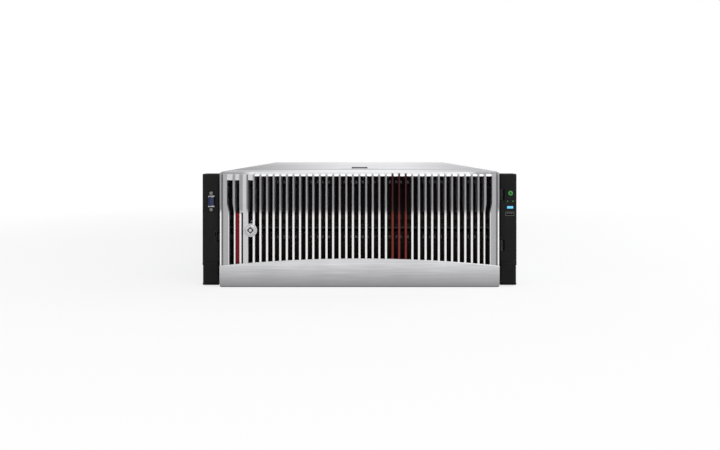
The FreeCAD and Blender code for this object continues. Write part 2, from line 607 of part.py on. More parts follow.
band = Solid("BezelBand")
arch = FRONT_FOOT + [("bezel_width/2", "band_end_height"), ("-bezel_width/2", "band_end_height", "band_rise"),
                     ("-bezel_width/2", "bezel_base + band_corner")]
band.pad("XZ", "-front_reach", "band_thickness", arch)
band.soften("Chamfer", "band_edge", lambda edge: isinstance(edge.Curve, Part.Circle)
            and edge.BoundBox.XLength > 100 and edge.BoundBox.YMax < value("0.5 - front_reach"))
crown = "band_end_height + band_rise"
band.cut("YZ", "-bezel_width", "2*bezel_width",
         [("-front_reach - 9", "bezel_base - 9"), ("band_bow + band_hem - front_reach", "bezel_base - 9"),
          ("band_bow + band_hem - front_reach", "bezel_base"),
          ("band_bow - front_reach", "bezel_base + band_hem"), ("band_bow - front_reach", crown, "-band_bow"),
          ("band_bow - front_reach", f"{crown} + 9"), ("-front_reach - 9", f"{crown} + 9")])
finish(band.body, "bezel_band")

housing = Solid("LockHousing")
housing.turn([("lock_bore_radius", "-lock_back"), ("lock_ring_radius", "-lock_back"),
              ("lock_ring_radius", "face_low - lock_ring_step"),
              ("lock_boss_radius", "face_low - lock_ring_step"),
              ("lock_boss_radius - 0.6", "lock_face"), ("lock_bore_radius", "lock_face")])
finish(housing.body, "lock_housing", "lock_x", "0", "lock_height")

barrel = Solid("LockCylinder")
barrel_radius = "lock_bore_radius - lock_play"
barrel.turn([("0", "lock_face"), ("lock_key_inner", "lock_face"),
             ("lock_key_inner", "lock_face + lock_key_depth"),
             ("lock_key_outer", "lock_face + lock_key_depth"), ("lock_key_outer", "lock_face"),
             (barrel_radius, "lock_face"), (barrel_radius, "cam_front"), ("0", "cam_front")])
barrel.cut("XZ", "lock_face - 1", "lock_key_depth", centred("0", "lock_bore_radius", "1.6", "2.4"))
finish(barrel.body, "lock_cylinder", "lock_x", "0", "lock_height")

cam = Solid("LockCam")
cam.pad("XZ", "cam_front", "cam_sheet", [
    ("-cam_width/2", "0"), ("cam_width/2", "0", "cam_width/2 - 0.001"), ("cam_width/2", "cam_reach - 2"),
    ("cam_width/2 - 2", "cam_reach"), ("2 - cam_width/2", "cam_reach"), ("-cam_width/2", "cam_reach - 2")])
finish(cam.body, "lock_cam", "lock_x", "0", "lock_height")

grip = Solid("LatchGrip")
grip.pad("XZ", "face_low + grip_recess", "-fin_back_lower - face_low - grip_recess + latch_play",
         rectangle("-latch_left", "grip_bottom", "-lip_left", "crease_low - latch_play"))
grip.pad("XZ", "latch_play - fin_back_lower", "carriage_sheet",
         rectangle("-latch_left - 4", "grip_bottom", "-lip_left + lip_width", "crease_low - 2"))
grip.pad("XZ", "latch_play - fin_back_lower + carriage_sheet", "tongue_sheet",
         rectangle("-ear_inner - tongue_bite", "tongue_middle - tongue_height/2", "-lip_left",
                   "tongue_middle + tongue_height/2"))
finish(grip.body, "latch_grip")

lip = Solid("LatchLip")
lip.pad("XZ", "face_low", "-fin_back_lower - face_low + latch_play",
        rectangle("-lip_left", "opening_bottom + latch_play", "-lip_left + lip_width",
                  "crease_low - latch_play"))
finish(lip.body, "latch_lip")

# ears: a moulded housing on a folded bracket, with a flap over the rack screw


def ear_housing(name, side):
    ear = Solid(name)
    bow = f"{side}*0.29289*ear_corner"
    ear.pad("XY", "ear_base", "ear_height", [
        (sided(side, "ear_inner"), "-ear_depth"), (sided(side, "ear_outer - ear_corner"), "-ear_depth"),
        (sided(side, "ear_outer"), "ear_corner - ear_depth", bow),
        (sided(side, "ear_outer"), "-bracket_sheet"),
        (sided(side, "ear_inner"), "-bracket_sheet")])
    ear.soften("Fillet", "ear_crown", lambda edge: edge.BoundBox.ZMin > value("ear_top - 0.1")
               and edge.BoundBox.XLength < 0.1 and abs(edge.CenterOfMass.x) > value("ear_outer - 0.1"))
    ear.soften("Fillet", "ear_foot", lambda edge: edge.BoundBox.ZMax < value("ear_base + 0.1")
               and edge.BoundBox.XLength < 0.1 and abs(edge.CenterOfMass.x) > value("ear_outer - 0.1"))
    ear.cut("XZ", "ear_face_back", "ear_depth - ear_wall - bracket_sheet",
            side_box(side, "ear_inner + ear_spine", "flap_top + flap_play + ear_wall",
                     "ear_outer - ear_wall",
                     "ear_top - ear_wall"))
    ear.cut("XZ", "-ear_depth - 1", "flap_thickness + flap_room + 1",
            side_box(side, "ear_inner - 1", "ear_base + flap_floor", "ear_outer + 1",
                     "flap_top + flap_play"))
    middle = sided(side, "rack_hole_span/2")
    ear.cut("XZ", "flap_thickness + flap_room - ear_depth - 1",
            "ear_depth - flap_thickness - flap_room + 1 - bracket_sheet - ear_wall",
            Round(middle, "rack_screw_height", "screw_head_radius + screw_room"))
    ear.cut("XZ", "-bracket_sheet - ear_wall - 1", "ear_wall + 2",
            Round(middle, "rack_screw_height", "rack_screw_radius + screw_play"))
    ear.cut("XY", "ear_base + flap_floor - 1",
            "flap_top - ear_base - flap_floor + flap_play + flap_pin_bite + 1",
            Round(sided(side, "flap_pin_x"), "flap_pin_y", "flap_pin_radius + 0.02"))
    return ear


def front_hole(ear, *outlines):
    ear.cut("XZ", "-ear_depth - 1", "ear_wall + 2", *outlines)


left_ear = ear_housing("LeftEar", -1)
vga_x = "vga_inset - ear_outer"
front_hole(left_ear, centred(vga_x, "vga_height", "vga_wide + 2*vga_room", "vga_long + 2*vga_room"),
           Round(vga_x, "vga_height + vga_post_span/2", "vga_post_radius + vga_room"),
           Round(vga_x, "vga_height - vga_post_span/2", "vga_post_radius + vga_room"))
left_ear.cut("XZ", "ear_face_back", "ear_depth - ear_wall - bracket_sheet",
             centred(vga_x, "vga_height", "vga_flange_wide + 2*vga_room", "vga_flange_long + 2*vga_room"))
service_x = "-ear_inner - service_inset"
left_ear.cut("XZ", "-ear_depth - 1", "service_depth + 1",
             centred(service_x, "service_height", "service_wide", "service_long"))
keeper_tall = "tongue_height + 2*keeper_room"
left_ear.cut("XZ", "-ear_depth - 1", "notch_depth + 1",
             rectangle("-ear_inner - tongue_bite - 1", f"tongue_middle - ({keeper_tall})/2",
                       "1 - ear_inner", f"tongue_middle + ({keeper_tall})/2"))
finish(left_ear.body, "left_ear")

right_ear = ear_housing("RightEar", 1)
power_x = "ear_outer - power_inset"
identify_x = "ear_outer - identify_inset"
lens_x = "ear_outer - lens_inset"
usb_x = "ear_outer - usb_inset"
front_hole(right_ear, Round(power_x, "power_height", "power_radius + button_play"),
           centred(identify_x, "identify_height", "identify_wide + 2*button_play",
                   "identify_tall + 2*button_play"),
           Round(f"{lens_x} - lens_gap/2", "lens_height", "lens_radius"),
           Round(f"{lens_x} + lens_gap/2", "lens_height", "lens_radius"),
           centred(usb_x, "usb_height", "usb_wide", "usb_tall"))
for middle in ("knuckle_low", "knuckle_high"):
    right_ear.cut("XZ", "-ear_depth - 1", "notch_depth + 1",
                  rectangle("ear_inner - 1", f"{middle} - knuckle_height/2 - knuckle_room",
                            "ear_inner + notch_width", f"{middle} + knuckle_height/2 + knuckle_room"))
pin_start = "knuckle_low - knuckle_height/2 - knuckle_room - hinge_pin_bite"
pin_length = "knuckle_high - knuckle_low + knuckle_height + 2*knuckle_room + 2*hinge_pin_bite"
right_ear.cut("XY", pin_start, pin_length, Round("hinge_x", "hinge_y", "hinge_pin_radius + 0.02"))
finish(right_ear.body, "right_ear")
hinge_pin = rod("z", ("hinge_x", "hinge_y", pin_start), "hinge_pin_radius", pin_length)

bracket = Solid("EarBracket")
bracket_tall = "ear_height - 2*bracket_inset"
bracket.pad("XY", "ear_base + bracket_inset", bracket_tall,
            rectangle("min(ear_inner + bracket_lap; chassis_width/2)", "-bracket_sheet",
                      "max(ear_outer - bracket_edge; chassis_width/2 + bracket_sheet)", "0"))
bracket.pad("XY", "ear_base + bracket_inset", bracket_tall,
            rectangle("chassis_width/2", "-bracket_sheet", "chassis_width/2 + bracket_sheet",
                      "bracket_leg"))
bracket.cut("XZ", "-bracket_sheet - 1", "bracket_sheet + 2",
            Round("rack_hole_span/2", "rack_screw_height", "rack_screw_radius + screw_play"))
finish(both(bracket.body, mirrored(bracket.body)), "ear_brackets")


def flap(name, side):
    door = Solid(name)
    tall = "flap_top - flap_bottom"
    bow = f"{side}*0.29289*flap_round"
    face = "flap_recess - ear_depth"
    back = "flap_thickness - ear_depth"
    outer = "ear_outer - flap_recess"
    inner = sided(side, "ear_inner + flap_play")
    door.pad("XY", "flap_bottom", tall, [
        (inner, face), (sided(side, f"{outer} - flap_round"), face),
        (sided(side, outer), f"{face} + flap_round", bow), (sided(side, outer), f"{back} - flap_round"),
        (sided(side, f"{outer} - flap_round"), back, bow), (inner, back)])
    door.pad("XY", "flap_top - flap_ridge_height", "flap_ridge_height", [
        (inner, "-ear_depth"), (sided(side, "ear_outer - flap_round"), "-ear_depth"),
        (sided(side, "ear_outer"), "flap_round - ear_depth", bow),
        (sided(side, "ear_outer"), f"{back} - flap_round"), (inner, f"{back} - flap_round")])
    door.cut("XY", "flap_bottom - 1", f"{tall} + 2",
             Round(sided(side, "flap_pin_x"), "flap_pin_y", "flap_pin_radius + hinge_play"))
    return door


finish(flap("LeftFlap", -1).body, "left_flap")
finish(flap("RightFlap", 1).body, "right_flap")
flap_pin_length = "flap_top - ear_base - flap_floor + flap_play + flap_pin_bite"
flap_pin = rod("z", ("flap_pin_x", "flap_pin_y", "ear_base + flap_floor"), "flap_pin_radius",
               flap_pin_length)
finish(both(flap_pin, mirrored(flap_pin), hinge_pin), "hinge_pins")

for side, label in ((-1, "left_rack_screw"), (1, "right_rack_screw")):
    seat = "-bracket_sheet - ear_wall - screw_play"
    screw = Solid("RackScrew")
    screw.turn([("0", f"{seat} - screw_head_length"), ("screw_head_radius - 1",
                                                       f"{seat} - screw_head_length"),
                ("screw_head_radius", f"{seat} - screw_head_length + 1"), ("screw_head_radius", seat),
                ("screw_neck_radius", seat), ("screw_neck_radius", "screw_play"),
                ("rack_screw_radius", "screw_play"),
                ("rack_screw_radius", "rack_screw_reach - 1"),
                ("rack_screw_radius - 1", "rack_screw_reach"), ("0", "rack_screw_reach")])
    screw.cut("XZ", f"{seat} - screw_head_length - 1", "3.5",
              centred("0", "0", "2*screw_head_radius + 2", "1.6"))
    finish(screw.body, label, sided(side, "rack_hole_span/2"), "0", "rack_screw_height")

# controls and ports on the ears
button_back = "button_stem - ear_depth"
power = join(rod("y", (power_x, "-ear_depth - button_proud", "power_height"), "power_radius",
                 "button_stem + button_proud"),
             rod("y", (power_x, "ear_face_back + button_play", "power_height"),
                 "power_radius + button_collar", "1.6"))
finish(power, "power_button")
identify = join(
    block((f"{identify_x} - identify_wide/2", "-ear_depth - button_proud",
           "identify_height - identify_tall/2"),
          (f"{identify_x} + identify_wide/2", button_back, "identify_height + identify_tall/2")),
    block((f"{identify_x} - identify_wide/2 - button_collar", "ear_face_back + button_play",
           "identify_height - identify_tall/2 - button_collar"),
          (f"{identify_x} + identify_wide/2 + button_collar", "ear_face_back + button_play + 1.6",
           "identify_height + identify_tall/2 + button_collar")))
finish(identify, "identify_button")
lens = rod("y", (f"{lens_x} - lens_gap/2", "-ear_depth", "lens_height"), "lens_radius",
           "panel_board_y + ear_depth")
finish(copies(lens, [("0", "0", "0"), ("lens_gap", "0", "0")]), "status_lenses")

usb = Solid("FrontUsb")
usb.pad("XZ", "-ear_depth", "usb_depth", centred(usb_x, "usb_height", "usb_wide", "usb_tall"))
usb.cut("XZ", "-ear_depth - 1", "usb_depth",
        centred(usb_x, "usb_height", "usb_wide - 2*usb_shell", "usb_tall - 2*usb_shell"))
usb.pad("XZ", "1 - ear_depth", "usb_depth - 1.5",
        rectangle(f"{usb_x} - usb_wide/2 + 1.6", "usb_height", f"{usb_x} + usb_wide/2 - 1.6",
                  "usb_height + usb_tongue"))
finish(usb.body, "front_usb_port")

panel_low = "usb_height - 8"
panel_board = join(
    block(("ear_inner + ear_spine", "panel_board_y", panel_low),
          ("ear_outer - ear_wall", "panel_board_y + panel_board_sheet", "power_height + 9")),
    rod("y", (power_x, "switch_y", "power_height"), "2", "panel_board_y - switch_y"),
    rod("y", (identify_x, "switch_y", "identify_height"), "1.5", "panel_board_y - switch_y"))
finish(panel_board, "front_panel_board")


def d_outline(x, z, wide, tall):
    """The tapered outline of a display socket stood on end."""
    return [(f"{x} - ({wide})/2", f"{z} - ({tall})/2"), (f"{x} + ({wide})/2",
                                                         f"{z} - ({tall})/2 + vga_taper"),
            (f"{x} + ({wide})/2", f"{z} + ({tall})/2 - vga_taper"),
            (f"{x} - ({wide})/2", f"{z} + ({tall})/2")]


vga_front = "-ear_depth - vga_reach"
vga = Solid("FrontVga")
vga.pad("XZ", "ear_face_back", "vga_flange_sheet", centred(vga_x, "vga_height", "vga_flange_wide",
                                                           "vga_flange_long"))
vga.pad("XZ", vga_front, "vga_reach + ear_wall", d_outline(vga_x, "vga_height", "vga_wide", "vga_long"))
vga.pad("XZ", "ear_face_back", "vga_back_depth", centred(vga_x, "vga_height", "vga_wide", "vga_long"))
for sign in "+-":
    vga.pad("XZ", "-ear_depth - vga_post_reach", "vga_post_reach + ear_wall",
            Round(vga_x, f"vga_height {sign} vga_post_span/2", "vga_post_radius"))
vga.cut("XZ", f"{vga_front} - 1", "vga_reach + ear_wall + 1",
        d_outline(vga_x, "vga_height", "vga_wide - 2*vga_wall", "vga_long - 2*vga_wall"))
finish(vga.body, "front_vga_shell")
insert = Solid("FrontVgaInsert")
insert.pad("XZ", f"{vga_front} + vga_face_set_back", "vga_reach + ear_wall - vga_face_set_back",
           d_outline(vga_x, "vga_height", "vga_wide - 2*vga_wall", "vga_long - 2*vga_wall"))
finish(insert.body, "front_vga_insert")

service = Solid("ServicePort")
service.pad("XZ", "-ear_depth", "service_depth", centred(service_x, "service_height", "service_wide",
                                                         "service_long"))
service.cut("XZ", "-ear_depth - 1", "service_depth",
            centred(service_x, "service_height", "service_wide - 2*service_wall",
                    "service_long - 2*service_wall"))
service.pad("XZ", "1.2 - ear_depth", "service_depth - 1.7",
            centred(service_x, "service_height", "0.7", "service_long - 2.4"))
finish(service.body, "service_port")

# chassis, plates and cover
tray = Solid("ChassisTray")
tray.pad("XZ", "0", "chassis_depth", [
    ("-chassis_width/2", "0"), ("chassis_width/2", "0"), ("chassis_width/2", "wall_top"),
    ("inner_half", "wall_top"),
    ("inner_half", "sheet"), ("-inner_half", "sheet"), ("-inner_half", "wall_top"),
    ("-chassis_width/2", "wall_top")])
tray.cut("YZ", "-chassis_width", "2*chassis_width", Round("rail_hole_front", "rail_hole_height",
                                                          "rail_hole_radius"),
         Round("rail_hole_front + rail_hole_span", "rail_hole_height", "rail_hole_radius"))
finish(tray.body, "chassis_tray")

plate = join(
    block(("-chassis_width/2", "0", "wall_top"), ("chassis_width/2", "front_plate_end", "chassis_height")),
    block(("-front_plate_half", "-front_plate_reach", "wall_top"),
          ("front_plate_half", "1", "chassis_height")),
    block(("-front_plate_half", "-front_plate_reach", "wall_top - front_lip"),
          ("front_plate_half", "sheet - front_plate_reach", "chassis_height")))
finish(plate, "front_top_plate")

lip_outer = "inner_half - cover_lip_gap"
lip_start = "cover_start + cover_lip_start"
lip_end = "chassis_depth - cover_lip_end"
lips = [block((sided(side, lip_outer) if side < 0 else f"{lip_outer} - sheet", lip_start,
               "wall_top - cover_lip_height"),
              (f"sheet - ({lip_outer})" if side < 0 else lip_outer, lip_end,
               "chassis_height")) for side in (-1, 1)]
lid = join(block(("-chassis_width/2", "cover_start", "wall_top"),
                 ("chassis_width/2", "chassis_depth", "chassis_height")), *lips)
well_end = "well_start + well_length"
lid = carve(lid, block(("-well_width/2", "well_start", "wall_top - 1"),
                       ("well_width/2", well_end, "chassis_height + 1")))
finish(lid, "top_cover")

well = join(block(("-well_width/2", "well_start", "chassis_height - well_depth"),
                  ("well_width/2", well_end, "chassis_height")),
            block(("-well_width/2 - well_flange", "well_start - well_flange", "wall_top - 2"),
                  ("well_width/2 + well_flange", f"{well_end} + well_flange", "wall_top")))
well = carve(well, block(("well_wall - well_width/2", "well_start + well_wall",
                          "chassis_height - well_depth + well_wall"),
                         ("well_width/2 - well_wall", f"{well_end} - well_wall", "chassis_height + 1")),
             rod("x", ("-well_width", "pivot_y", "pivot_z"), "lever_pin_radius + 0.02", "2*well_width"))
finish(well, "cover_latch_well")
pin = rod("x", ("-well_width/2", "pivot_y", "pivot_z"), "lever_pin_radius", "well_width")
finish(pin, "cover_latch_pin", "-well_width/2", "pivot_y", "pivot_z")

lever = Solid("CoverLatch")
lever_low = "chassis_height - lever_thickness"
lever.pad("YZ", "-lever_width/2", "lever_width", [
    ("lever_end - lever_length", f"{lever_low} + 2"), ("lever_end - lever_length + 3", lever_low),
    ("lever_end - 2", lever_low), ("lever_end", f"{lever_low} + 2"), ("lever_end", "chassis_height - 2"),
    ("lever_end - 2", "chassis_height"), ("lever_end - lever_length", "chassis_height")])
lever.cut("YZ", "-lever_width", "2*lever_width", Round("pivot_y", "pivot_z",
                                                       "lever_pin_radius + lever_play"))
groove = lever.cut("XY", "chassis_height - lever_grip_depth", "lever_grip_depth + 1",
                   rectangle("3 - lever_width/2", "lever_end - lever_length + 4", "lever_width/2 - 3",
                             "lever_end - lever_length + 6"))
lever.row([groove], "Y", "4", "5")
finish(lever.body, "cover_latch")

# drives
cage = Solid("DriveCage")
cage.pad("XZ", "-cage_reach", "cage_reach + cage_end",
         rectangle("-cage_half", "sheet", "cage_half", "wall_top"),
         rectangle("sheet - cage_half", "2*sheet", "cage_half - sheet", "shelf_low"),
         rectangle("sheet - cage_half", "shelf_high", "cage_half - sheet", "wall_top - sheet"))
for level in ("2*sheet", "shelf_high"):
    guide = cage.pad("XZ", "2", "cage_end - 8",
                     rectangle("first_bay + bay_pitch/2 - guide_sheet/2", f"{level} - 0.2",
                               "first_bay + bay_pitch/2 + guide_sheet/2", f"{level} + guide_tall"))
    cage.row([guide], "X", "bay_pitch", "bay_count - 1")
finish(cage.body, "drive_cage")

bays = [(f"first_bay + {k}*bay_pitch", "0", level) for level in ("2*sheet", "shelf_high")
        for k in range(int(value("bay_count")))]
half = "carrier_width/2"
pocket_low = "carrier_height/2 - carrier_pocket_height/2 - carrier_pocket_shift"
pocket_high = "carrier_height/2 + carrier_pocket_height/2 - carrier_pocket_shift"
carrier = Solid("DriveCarrier")
carrier.pad("XZ", "-carrier_face", "carrier_face", rectangle(f"-{half}", "0", half, "carrier_height"))
carrier.pad("XZ", "-1", "carrier_rail_length + 1",
            rectangle(f"-{half}", "carrier_floor", f"carrier_rail - {half}", "carrier_rail_height"),
            rectangle(f"{half} - carrier_rail", "carrier_floor", half, "carrier_rail_height"))
carrier.cut("XZ", "-carrier_face - 1", "carrier_pocket_depth + 1",
            rectangle("-carrier_pocket_width/2", pocket_low, "carrier_pocket_width/2", pocket_high))
carrier.cut("XZ", "-carrier_face - 1", "carrier_face + 2",
            *[centred(x, "carrier_height - carrier_vent_from_top", "carrier_vent_width",
                      "carrier_vent_height")
              for x in ("-carrier_vent_width", "carrier_vent_width")])
finish(copies(carrier.body, bays), "drive_carriers")
module = block(("-module_width/2", "0", "carrier_floor"), ("module_width/2", "module_length",
                                                           "carrier_floor + module_height"))
finish(copies(module, bays), "drive_modules")
pocket_floor = "carrier_pocket_depth - carrier_face"
handle = Solid("DriveHandle")
handle.pad("YZ", "-handle_width/2", "handle_width", [
    (pocket_floor, f"{pocket_high} - 0.5"), (f"{pocket_floor} - handle_sheet + handle_rise",
                                             f"{pocket_high} - 0.5"),
    (f"{pocket_floor} - handle_sheet", f"{pocket_high} - 5"),
    (f"{pocket_floor} - handle_sheet", f"{pocket_high} - handle_height + 4"),
    (f"{pocket_floor} - handle_sheet + 2", f"{pocket_high} - handle_height"),
    (pocket_floor, f"{pocket_high} - handle_height")])
finish(copies(handle.body, bays), "drive_handles")
catch_high = f"{pocket_high} - handle_height - catch_gap"
catch = block(("-handle_width/2", f"{pocket_floor} - 4", f"{catch_high} - catch_height"),
              ("handle_width/2", pocket_floor, catch_high))
finish(copies(catch, bays), "drive_catches")

backplane = Solid("DriveBackplane")
backplane.pad("XZ", "cage_end", "backplane_sheet",
              rectangle("-cage_half", "sheet", "cage_half", "wall_top - backplane_inset"))
window = backplane.cut("XZ", "cage_end - 1", "backplane_sheet + 2",
                       *[centred("-1.5*window_step", height, "window_wide", "window_tall")
                         for height in ("window_low", "shelf_high + window_high")])
backplane.row([window], "X", "window_step", "4")
finish(backplane.body, "drive_backplane")

# fans
fan_y = "bulkhead_place + sheet"
fan_places = ["-fan_spacing", "0", "fan_spacing"]
wall = Solid("FanBulkhead")
wall.pad("XZ", "bulkhead_place", "sheet", rectangle("-bulkhead_half", "sheet", "bulkhead_half",
                                                    "bulkhead_top"),
         *[Round(x, "fan_height", "fan_bore") for x in fan_places])
wall.pad("XY", "sheet", "sheet",
         rectangle("-bulkhead_half", "bulkhead_place - bulkhead_foot", "bulkhead_half",
                   "bulkhead_place + 0.5"))
finish(wall.body, "fan_bulkhead")

frame = Solid("FanFrame")
frame.pad("XZ", "0", "fan_depth", centred("0", "0", "fan_size", "fan_size"), Round("0", "0", "fan_bore"))
base_level = "fan_depth - fan_base_sheet"
frame.pad("XZ", base_level, "fan_base_sheet", centred("0", "0", "2*fan_bore + 2", "strut_width"))
frame.pad("XZ", base_level, "fan_base_sheet", centred("0", "0", "strut_width", "2*fan_bore + 2"))
frame.pad("XZ", base_level, "fan_base_sheet", Round("0", "0", "fan_base_radius"))
frame.pad("XZ", "bearing_front", "fan_depth - bearing_front - 1", Round("0", "0", "bearing_radius"))
frame.cut("XZ", "bearing_front - 1", "fan_shaft_end - bearing_front + 1.6",
          Round("0", "0", "fan_shaft + bearing_play"))
finish(copies(frame.body, [(x, fan_y, "fan_height") for x in fan_places]), "fan_frames")


def blade_section(rise, sweep):
    return [(f"blade_middle - {rise}", f"-{sweep}"), (f"blade_middle - {rise} + blade_sheet", f"-{sweep}"),
            (f"blade_middle + {rise}", sweep), (f"blade_middle + {rise} - blade_sheet", sweep)]


for number, x in enumerate(fan_places, start=1):
    rotor = Solid(f"FanRotor{number}")
    rotor.turn([("0", "fan_hub_front"), ("fan_hub - 2", "fan_hub_front"), ("fan_hub", "fan_hub_front + 2"),
                ("fan_hub", "fan_hub_back"), ("fan_hub - fan_cup_wall", "fan_hub_back"),
                ("fan_hub - fan_cup_wall", "fan_hub_front + fan_cup_wall"),
                ("fan_shaft", "fan_hub_front + fan_cup_wall"),
                ("fan_shaft", "fan_shaft_end"), ("0", "fan_shaft_end")])
    blade = rotor.loft("YZ", ("fan_hub - fan_cup_wall/2",
                              blade_section("blade_root_rise", "blade_root_sweep")),
                       ("blade_tip", blade_section("blade_tip_rise", "blade_tip_sweep")))
    rotor.ring([blade], "Y", "blade_count")
    finish(rotor.body, f"fan_rotor_{number}", x, fan_y, "fan_height")

# boards
board_end = "board_start + board_length"
board = join(block(("-board_half", "board_start", "board_low"), ("board_half", board_end, "board_high")),
             block(("io_left", f"{board_end} - 1", "board_low"), ("board_half", "io_end", "board_high")))
finish(board, "motherboard")
standoff = rod("z", ("0", "0", "sheet"), "standoff_radius", "standoff_height")
posts = [(x, y, "0") for x in ("standoff_inset - board_half", "0", "board_half - standoff_inset")
         for y in ("board_start + standoff_inset", "board_start + board_length/2",
                   f"{board_end} - standoff_inset")]
posts += [(x, y, "0") for x in ("io_left + 8", "io_right - 8") for y in ("io_start + 8", "io_end - 30")]
finish(copies(standoff, posts), "board_standoffs")

sink = Solid("HeatSink")
sink.pad("XZ", "0", "sink_length", centred("0", "sink_base/2", "sink_width", "sink_base"))
sink.pad("XY", "-sink_foot", "sink_foot + 1", centred("0", "sink_length/2", "0.6*sink_width",
                                                      "0.7*sink_length"))
fin = sink.pad("XZ", "0", "sink_length",
               rectangle("-sink_width/2", "sink_base - 1", "sink_fin - sink_width/2", "sink_height"))
sink.row([fin], "X", "(sink_width - sink_fin)/(sink_fin_count - 1)", "sink_fin_count")
rows = range(int(value("sink_rows")))
spots = [(x, f"sink_first + {k}*sink_row", "sink_low") for x in ("-sink_x", "sink_x") for k in rows]
finish(copies(sink.body, spots), "heat_sinks")
slots = [(f"{x} + {k}*memory_pitch", f"sink_first - 14 + {row}*sink_row", "board_high")
         for x, count in (("-memory_side - 5*memory_pitch", 6), ("-3.5*memory_pitch", 8),
                          ("memory_side", 6))
         for k in range(count) for row in rows]
socket = block(("-socket_width/2", "0", "0"), ("socket_width/2", "socket_length", "socket_height"))
finish(copies(socket, slots), "memory_sockets")
stick = block(("-module_sheet/2", "(socket_length - module_span)/2", "socket_height"),
              ("module_sheet/2", "(socket_length + module_span)/2", "socket_height + module_rise"))
finish(copies(stick, slots), "memory_modules")

# supplies, expansion and rear panel
bay_middles = [f"first_supply + {k}*bay_step" for k in range(int(value("supply_bays")))]
bay_holes = [centred(x, "supply_middle", "bay_width", "bay_tall") for x in bay_middles]
supply_cage = Solid("SupplyCage")
supply_cage.pad("XZ", "supply_cage_start", "chassis_depth - sheet - supply_cage_start",
                rectangle("-supply_left", "sheet", "supply_cage_right", "cage_top"), *bay_holes)
finish(supply_cage.body, "supply_cage")
finish(block(("0", "0", "0"), ("supply_cage_right + supply_left", "power_board_sheet", "power_board_tall")),
       "power_board",
       "-supply_left", "supply_cage_start - power_board_sheet", "sheet")

for number, x in enumerate(bay_middles[:2], start=1):
    supply = Solid(f"Supply{number}")
    supply.pad("XZ", "-supply_length", "supply_length", centred("0", "0", "supply_width", "supply_tall"))
    supply.cut("XZ", "-supply_fan_depth", "supply_fan_depth + 1",
               Round("supply_fan_inset - supply_width/2", "0", "supply_fan_radius"))
    supply.pad("XZ", "-supply_fan_depth - 1", "supply_fan_depth",
               Round("supply_fan_inset - supply_width/2", "0", "supply_fan_radius/3"))
    inlet_x = "supply_width/2 - inlet_inset"
    supply.cut("XZ", "-inlet_depth", "inlet_depth + 1", [
        (f"{inlet_x} - inlet_wide/2", "-inlet_tall/2"), (f"{inlet_x} + inlet_wide/2", "-inlet_tall/2"),
        (f"{inlet_x} + inlet_wide/2", "inlet_tall/2 - inlet_cut"),
        (f"{inlet_x} + inlet_wide/2 - inlet_cut", "inlet_tall/2"),
        (f"{inlet_x} - inlet_wide/2 + inlet_cut", "inlet_tall/2"),
        (f"{inlet_x} - inlet_wide/2", "inlet_tall/2 - inlet_cut")])
    finish(supply.body, f"supply_{number}", x, "supply_back", "supply_middle")
    strap = Solid(f"SupplyGrip{number}")
    strap_x = "supply_fan_inset - supply_width/2 + grip_shift"
    strap.pad("XY", "-grip_tall/2", "grip_tall", [
        (f"{strap_x} - grip_span/2", "0"), (f"{strap_x} - grip_span/2 + grip_bar", "0"),
        (f"{strap_x} - grip_span/2 + grip_bar", "grip_reach - grip_bar"),
        (f"{strap_x} + grip_span/2 - grip_bar", "grip_reach - grip_bar"),
        (f"{strap_x} + grip_span/2 - grip_bar", "0"), (f"{strap_x} + grip_span/2", "0"),
        (f"{strap_x} + grip_span/2", "grip_reach"),
        (f"{strap_x} - grip_span/2", "grip_reach")])
    strap.soften("Fillet", "grip_bar - 0.4", lambda edge: edge.BoundBox.ZLength > value("grip_tall - 0.1")
                 and edge.CenterOfMass.y > value("grip_reach - 0.1"))
    finish(strap.body, f"supply_grip_{number}", x, "supply_back", "supply_middle")
    tab = Solid(f"SupplyTab{number}")
    tab.pad("XY", "-tab_tall/2", "tab_tall", [
        ("supply_width/2 - tab_inset", "tab_gap"), ("supply_width/2 - tab_inset + tab_sheet", "tab_gap"),
        ("supply_width/2 - tab_inset + tab_sheet", "tab_reach - 3"), ("supply_width/2 - 0.5", "tab_reach"),
        ("supply_width/2 - tab_inset", "tab_reach")])
    finish(tab.body, f"supply_tab_{number}", x, "supply_back", "supply_middle")

blank = Solid("SupplyBlank")
blank.pad("XZ", "0", "blank_sheet", centred("0", "0", "bay_width + 1", "bay_tall - 1"))
blank.pad("XZ", "0", "blank_ridge", centred("0", "0", "bay_width/2", "blank_ridge"))
finish(copies(blank.body, [(x, "chassis_depth", "supply_middle") for x in bay_middles[2:]]),
       "supply_blanks")

slot_middles = [f"{k}*slot_pitch - slot_first" for k in range(int(value("slot_count")))]
panel = Solid("RearPanel")
panel.pad("XZ", "chassis_depth - sheet", "sheet",
          rectangle("-inner_half", "sheet", "inner_half", "wall_top"), *bay_holes,
          rectangle("io_left", "board_high", "io_right", "io_top"))
slot = panel.cut("XZ", "chassis_depth - sheet - 1", "sheet + 2",
                 rectangle("-slot_first - slot_window/2", "slot_bottom", "-slot_first + slot_window/2",
                           "slot_bottom + slot_tall"))
panel.row([slot], "X", "slot_pitch", "slot_count")
vent = panel.cut("XZ", "chassis_depth - sheet - 1", "sheet + 2",
                 rectangle("vent_left", "vent_first", "vent_right", "vent_first + vent_tall"))
panel.row([vent], "Z", "vent_pitch", "vent_count")
finish(panel.body, "rear_panel")

